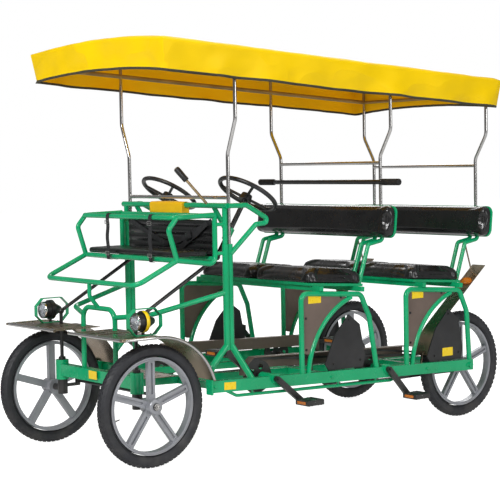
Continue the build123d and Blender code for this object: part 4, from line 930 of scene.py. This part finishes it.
class SURREY_OT_plates(bpy.types.Operator):
    """Adds the small blank yellow plates on the side that shows them"""

    bl_idname = "surrey.plates"
    bl_label = "Blank plates"

    def execute(self, context):
        thick = sizes().plate_thickness
        bm = bmesh.new()
        tilt = Matrix.Rotation(radians(-2.05), 4, "X")
        for x, y, z, wide, high in (
            (RAIL_X, -0.549, rail_z(-0.549), 0.062, 0.032), (PANEL_X, -0.061, 0.641, 0.074, 0.034),
            (PANEL_X, 0.575, 0.619, 0.074, 0.034), (COVER_X, 0.776, 0.331, 0.07, 0.04),
        ):
            place = Matrix.Translation((x, y, z)) @ (tilt if x > 0.46 else Matrix.Identity(4))
            for grow, out in ((0.0, thick), (-0.003, thick + 0.0004)):
                half_wide, half_high = wide / 2 + grow, high / 2 + grow
                box_in(bm, (-0.0002, -half_wide, -half_high), (out, half_wide, half_high), 0.0005, 1, place)
        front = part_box("front_axle")[0]
        box_in(bm, (-0.030, front.y - thick, 0.330), (0.034, front.y + 0.0002, 0.366), 0.0005, 1)
        piece_from(bm, "blank_plates", ["blank_plate"], "chassis")
        return {"FINISHED"}


LAMP_X, LAMP_Z = 0.373, 0.606


class SURREY_OT_lamps(bpy.types.Operator):
    """Builds the lamps' faceted bowls, bulbs and clear fronts, and the near lamp's band"""

    bl_idname = "surrey.lamps"
    bl_label = "Lamps"

    def execute(self, context):
        bowls, bulbs, glass = bmesh.new(), bmesh.new(), bmesh.new()
        for _, side in SIDES:
            place = facing((side * LAMP_X, -0.952, LAMP_Z), (0, -1, 0))
            bowl = [(0.0335, 0.0068), (0.028, 0.0042), (0.021, 0.0022), (0.013, 0.0009), (0.006, 0.0004)]
            turned_in(bowls, bowl, place, 18)
            turned_in(bulbs, [(0.0, 0.0052), (0.004, 0.0046), (0.0062, 0.0024), (0.0062, 0.0002)], place, 16)
            front = [(0.0, 0.0108), (0.014, 0.0104), (0.027, 0.0092), (0.0335, 0.0078), (0.0335, 0.0070),
                     (0.027, 0.0080), (0.014, 0.0090), (0.0, 0.0094)]
            turned_in(glass, front, place, 36)
        for f in bowls.faces:
            f.smooth = False
            if f.normal.y > 0:
                f.normal_flip()
        piece_from(bowls, "lamp_bowls", ["lamp_mirror"], "chassis", smooth=0)
        piece_from(bulbs, "lamp_bulbs", ["bulb"], "chassis")
        fronts = piece_from(glass, "lamp_fronts", ["lamp_glass"], "chassis")
        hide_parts("lamp_lenses")
        bm = bmesh.new()
        band = [(0.0442, 0.0005), (0.0452, 0.002), (0.0452, 0.016), (0.0442, 0.0175)]
        turned_in(bm, band, facing((LAMP_X, -0.914, LAMP_Z), (0, -1, 0)), 48)
        piece_from(bm, "lamp_band", ["blank_plate"], "chassis")
        bm = bmesh.new()
        for _, side in SIDES:
            rim = [(0.0345, 0.0), (0.0345, 0.0072), (0.0362, 0.0082), (0.0378, 0.0062), (0.0378, 0.0)]
            place = facing((side * LAMP_X, -0.958, LAMP_Z), (0, -1, 0))
            turned_in(bm, rim, place @ Matrix.Translation((0, 0, -0.0005)), 40)
        piece_from(bm, "lamp_rims", ["chrome"], "chassis")
        return {"FINISHED"}


class SURREY_OT_wing_edges(bpy.types.Operator):
    """Lays the bright edge tubes round the front wings and fits the hand brake's grip"""

    bl_idname = "surrey.wing_edges"
    bl_label = "Wing edges and brake grip"

    def execute(self, context):
        bm = bmesh.new()
        for _, side in SIDES:
            path = [(0.060, -1.088, 0.5465), (0.452, -1.088, 0.5465), (0.466, -1.0855, 0.5465),
                    (0.472, -1.074, 0.5465)]
            path += [(0.472, -AXLE_Y + 0.2895 * cos(radians(turn)), AXLE_Z + 0.2895 * sin(radians(turn)))
                     for turn in range(90, 16, -6)]
            curve = bpy.data.curves.new("wing_edge_path", "CURVE")
            curve.dimensions, curve.bevel_depth, curve.bevel_resolution = "3D", 0.0068, 3
            curve.use_fill_caps = True
            line = curve.splines.new("POLY")
            line.points.add(len(path) - 1)
            for point, (x, y, z) in zip(line.points, path):
                point.co = (side * x, y, z, 1)
            shaper = bpy.data.objects.new("wing_edge_path", curve)
            bm.from_mesh(bpy.data.meshes.new_from_object(shaper))
            bpy.data.objects.remove(shaper)
            bpy.data.curves.remove(curve)
        bmesh.ops.remove_doubles(bm, verts=bm.verts, dist=1e-6)
        bmesh.ops.recalc_face_normals(bm, faces=bm.faces)
        piece_from(bm, "wing_edges", ["chrome"], "chassis", smooth=40.0)
        bm = bmesh.new()
        foot, top = Vector((0.262, -0.500, 1.075)), Vector((0.157, -0.583, 1.228))
        grip = [(0.0, 0.0075), (0.009, 0.0065), (0.0136, 0.0015), (0.0142, -0.012), (0.0134, -0.045),
                (0.0136, -0.060), (0.0125, -0.065), (0.0, -0.066)]
        turned_in(bm, grip, facing(top, top - foot), 28)
        piece_from(bm, "brake_grip", ["moulded_black"], "chassis")
        return {"FINISHED"}


class SURREY_OT_pedals(bpy.types.Operator):
    """Adds amber reflectors, treads and end caps to the eight pedals"""

    bl_idname = "surrey.pedals"
    bl_label = "Pedals"

    def execute(self, context):
        for end, y, turn in (("front", -0.304, -39), ("rear", 0.360, -48)):
            z = rail_z(y) + 0.014
            for hand, side in SIDES:
                angle = radians(turn if side > 0 else turn + 180)
                amber, treads, caps = bmesh.new(), bmesh.new(), bmesh.new()
                for low, sign in ((0.498, 1), (0.202, -1)):
                    py, pz = y + sign * CRANK_ARM * cos(angle), z + sign * CRANK_ARM * sin(angle)
                    span = sorted((side * (low + 0.016), side * (low + 0.072)))
                    wide = sorted((side * (low + 0.006), side * (low + 0.082)))
                    for face in (1, -1):
                        edge = py + face * 0.046
                        box_in(amber, (span[0], min(edge, edge + face * 0.0026), pz - 0.006),
                               (span[1], max(edge, edge + face * 0.0026), pz + 0.006), 0.0008, 1)
                        for step in (-0.034, -0.017, 0.017, 0.034):
                            top = pz + face * 0.012
                            box_in(treads, (wide[0], py + step - 0.0035, min(top, top + face * 0.0018)),
                                   (wide[1], py + step + 0.0035, max(top, top + face * 0.0018)), 0.0006, 1)
                    out = side * (low + 0.088) if sign > 0 else side * low
                    direction = (side * sign, 0, 0)
                    cap = [(0.0, 0.003), (0.007, 0.0026), (0.0085, 0)]
                    turned_in(caps, cap, facing((out, py, pz), direction), 16)
                body = f"{end}_{hand}_crank"
                piece_from(amber, f"{end}_{hand}_pedal_reflectors", ["amber"], body)
                piece_from(treads, f"{end}_{hand}_pedal_treads", ["moulded_black"], body)
                bolt_in(caps, (side * 0.490, y, z), (side, 0, 0), 0.007)
                piece_from(caps, f"{end}_{hand}_crank_caps", ["satin_black"], body)
        return {"FINISHED"}


class SURREY_OT_fasteners(bpy.types.Operator):
    """Adds the bolts of the rails, covers, panels, clamps and lamps"""

    bl_idname = "surrey.fasteners"
    bl_label = "Fasteners"

    def execute(self, context):
        rail, cover, bare = bmesh.new(), bmesh.new(), bmesh.new()
        for _, side in SIDES:
            out = (side, 0, 0)
            for y in (-0.628, 0.022, 0.618, 0.89):
                bolt_in(rail, (side * RAIL_X, y, rail_z(y)), out, 0.006)
            for dy, dz in ((-BENCH_PITCH, BENCH_DROP), (0, 0)):
                for y, z in ((0.690, 0.318), (0.785, 0.512), (0.852, 0.322)):
                    bolt_in(cover, (side * COVER_X, y + dy, z + dz), out, 0.0045)
            for _, dy, dz in BENCHES:
                for y, z in ((-0.112, 0.420), (-0.112, 0.560), (0.095, 0.640)):
                    bolt_in(cover, (side * PANEL_X, y + dy, z + dz), out, 0.004)
                for z in (0.957, 1.007):
                    bolt_in(bare, (side * 0.396, 0.429 + dy, z + dz), out, 0.006)
            for x in (0.12, 0.24, 0.44):
                bolt_in(bare, (side * x, -1.062, 0.548), (0, 0, 1), 0.004)
            bolt_in(bare, (side * LAMP_X, -0.885, 0.551), (0, 0, 1), 0.004)
        piece_from(rail, "rail_bolts", ["green_enamel"], "chassis")
        piece_from(cover, "cover_bolts", ["satin_black"], "chassis")
        piece_from(bare, "frame_bolts", ["axle_steel"], "chassis")
        bm = bmesh.new()
        for _, side in SIDES:
            for x in (0.09, 0.155, 0.22):
                points = [(side * x, -1.072 + 0.02 * step, 0.5498) for step in range(10)]
                band_in(bm, points, (0.006, 0, 0), 0.0016)
        piece_from(bm, "deck_beads", ["deck_sheet"], "chassis")
        return {"FINISHED"}


# Stage


class SURREY_OT_stage(bpy.types.Operator):
    """Sets the camera, the pale floor, the soft lights and the world"""

    bl_idname = "surrey.stage"
    bl_label = "Stage"

    def execute(self, context):
        scene = context.scene
        a, e, r = radians(51.96), radians(3.34), radians(-1.02)
        back = Vector((sin(a) * cos(e), -cos(a) * cos(e), sin(e)))
        right = Vector((cos(a), sin(a), 0))
        up = back.cross(right)
        across, above = right * cos(r) + up * sin(r), up * cos(r) - right * sin(r)
        place = Vector((0, -0.064, 0.845)) + back * 6.92
        camera = bpy.data.objects.new("camera", bpy.data.cameras.new("camera"))
        scene.collection.objects.link(camera)
        turn = Matrix((across, above, back)).transposed().to_4x4()
        camera.matrix_world = Matrix.Translation(place) @ turn
        camera.data.sensor_width = 36
        camera.data.lens = 1484.9 * 36 / 500
        camera.data.dof.use_dof = False
        scene.camera = camera

        bm = bmesh.new()
        bmesh.ops.create_grid(bm, x_segments=1, y_segments=1, size=30)
        mesh = bpy.data.meshes.new("floor")
        bm.to_mesh(mesh)
        bm.free()
        floor = bpy.data.objects.new("floor", mesh)
        floor.location.z = -0.001
        scene.collection.objects.link(floor)
        pale = bpy.data.materials.new("floor")
        pale.use_nodes = True
        shader = pale.node_tree.nodes["Principled BSDF"]
        shader.inputs["Base Color"].default_value = (0.6, 0.6, 0.6, 1)
        shader.inputs["Roughness"].default_value = 0.95
        shader.inputs["Specular IOR Level"].default_value = 0.0
        shader.inputs["Emission Color"].default_value = (1, 1, 1, 1)
        t = Shading(pale.node_tree)
        glow = t.ramp(t.node("ShaderNodeLightPath").outputs["Is Camera Ray"], 0.0, 1.0, 0.24, 0.9)
        t.feed(shader.inputs["Emission Strength"], glow)
        mesh.materials.append(pale)

        target = Vector((0, 0, 0.8))
        for name, at, size, power in (
            ("key", (2.6, -5.4, 4.0), 1.8, 250), ("fill", (6.0, 1.0, 2.4), 2.6, 95),
            ("top", (0.0, 0.0, 5.0), 4.0, 70), ("rear", (-4.0, 4.0, 3.5), 3.0, 90),
        ):
            light = bpy.data.objects.new(name, bpy.data.lights.new(name, "AREA"))
            light.data.shape, light.data.size, light.data.energy = "SQUARE", size, power
            light.location = at
            light.rotation_euler = (target - Vector(at)).to_track_quat("-Z", "Y").to_euler()
            scene.collection.objects.link(light)

        world = bpy.data.worlds.new("studio")
        scene.world = world
        world.use_nodes = True
        t = Shading(world.node_tree)
        place = t.node("ShaderNodeTexCoord").outputs["Generated"]
        height = t.node("ShaderNodeSeparateXYZ", Vector=place).outputs["Z"]
        grey = t.ramp(height, -0.25, 0.7, 0.08, 0.34)
        seen = t.node("ShaderNodeLightPath").outputs["Is Camera Ray"]
        shade = t.node("ShaderNodeCombineColor", Red=grey, Green=grey, Blue=grey).outputs[0]
        shown = t.mix(seen, shade, (1, 1, 1, 1))
        sky = t.tree.nodes["Background"]
        t.feed(sky.inputs["Color"], shown)
        sky.inputs["Strength"].default_value = 1.0
        scene.view_settings.view_transform = "Standard"
        return {"FINISHED"}


class SURREY_PT_panel(bpy.types.Panel):
    """Lists the steps that build the bike"""

    bl_idname = "SURREY_PT_panel"
    bl_label = "Surrey bike"
    bl_space_type = "VIEW_3D"
    bl_region_type = "UI"
    bl_category = "Surrey bike"

    def draw(self, context):
        layout = self.layout
        for group in (context.scene.surrey_colours, context.scene.surrey_sizes):
            for key in group.__annotations__:
                layout.prop(group, key)
        for operator in OPERATORS:
            layout.operator(operator.bl_idname)


OPERATORS = (
    SURREY_OT_finishes,
    SURREY_OT_canopy,
    SURREY_OT_seats,
    SURREY_OT_backrests,
    SURREY_OT_child_seat,
    SURREY_OT_dash_pad,
    SURREY_OT_tyres,
    SURREY_OT_wheel_trim,
    SURREY_OT_plates,
    SURREY_OT_lamps,
    SURREY_OT_wing_edges,
    SURREY_OT_pedals,
    SURREY_OT_fasteners,
    SURREY_OT_stage,
)
CLASSES = (SurreyColours, SurreySizes, *OPERATORS, SURREY_PT_panel)


def register():
    for item in CLASSES:
        bpy.utils.register_class(item)
    bpy.types.Scene.surrey_colours = PointerProperty(type=SurreyColours)
    bpy.types.Scene.surrey_sizes = PointerProperty(type=SurreySizes)


def unregister():
    del bpy.types.Scene.surrey_sizes
    del bpy.types.Scene.surrey_colours
    for item in reversed(CLASSES):
        bpy.utils.unregister_class(item)


def main():
    register()
    for step in (
        bpy.ops.surrey.finishes, bpy.ops.surrey.canopy, bpy.ops.surrey.seats, bpy.ops.surrey.backrests,
        bpy.ops.surrey.child_seat, bpy.ops.surrey.dash_pad, bpy.ops.surrey.tyres, bpy.ops.surrey.wheel_trim,
        bpy.ops.surrey.plates, bpy.ops.surrey.lamps, bpy.ops.surrey.wing_edges, bpy.ops.surrey.pedals,
        bpy.ops.surrey.fasteners, bpy.ops.surrey.stage,
    ):
        step()


if __name__ == "__main__":
    main()
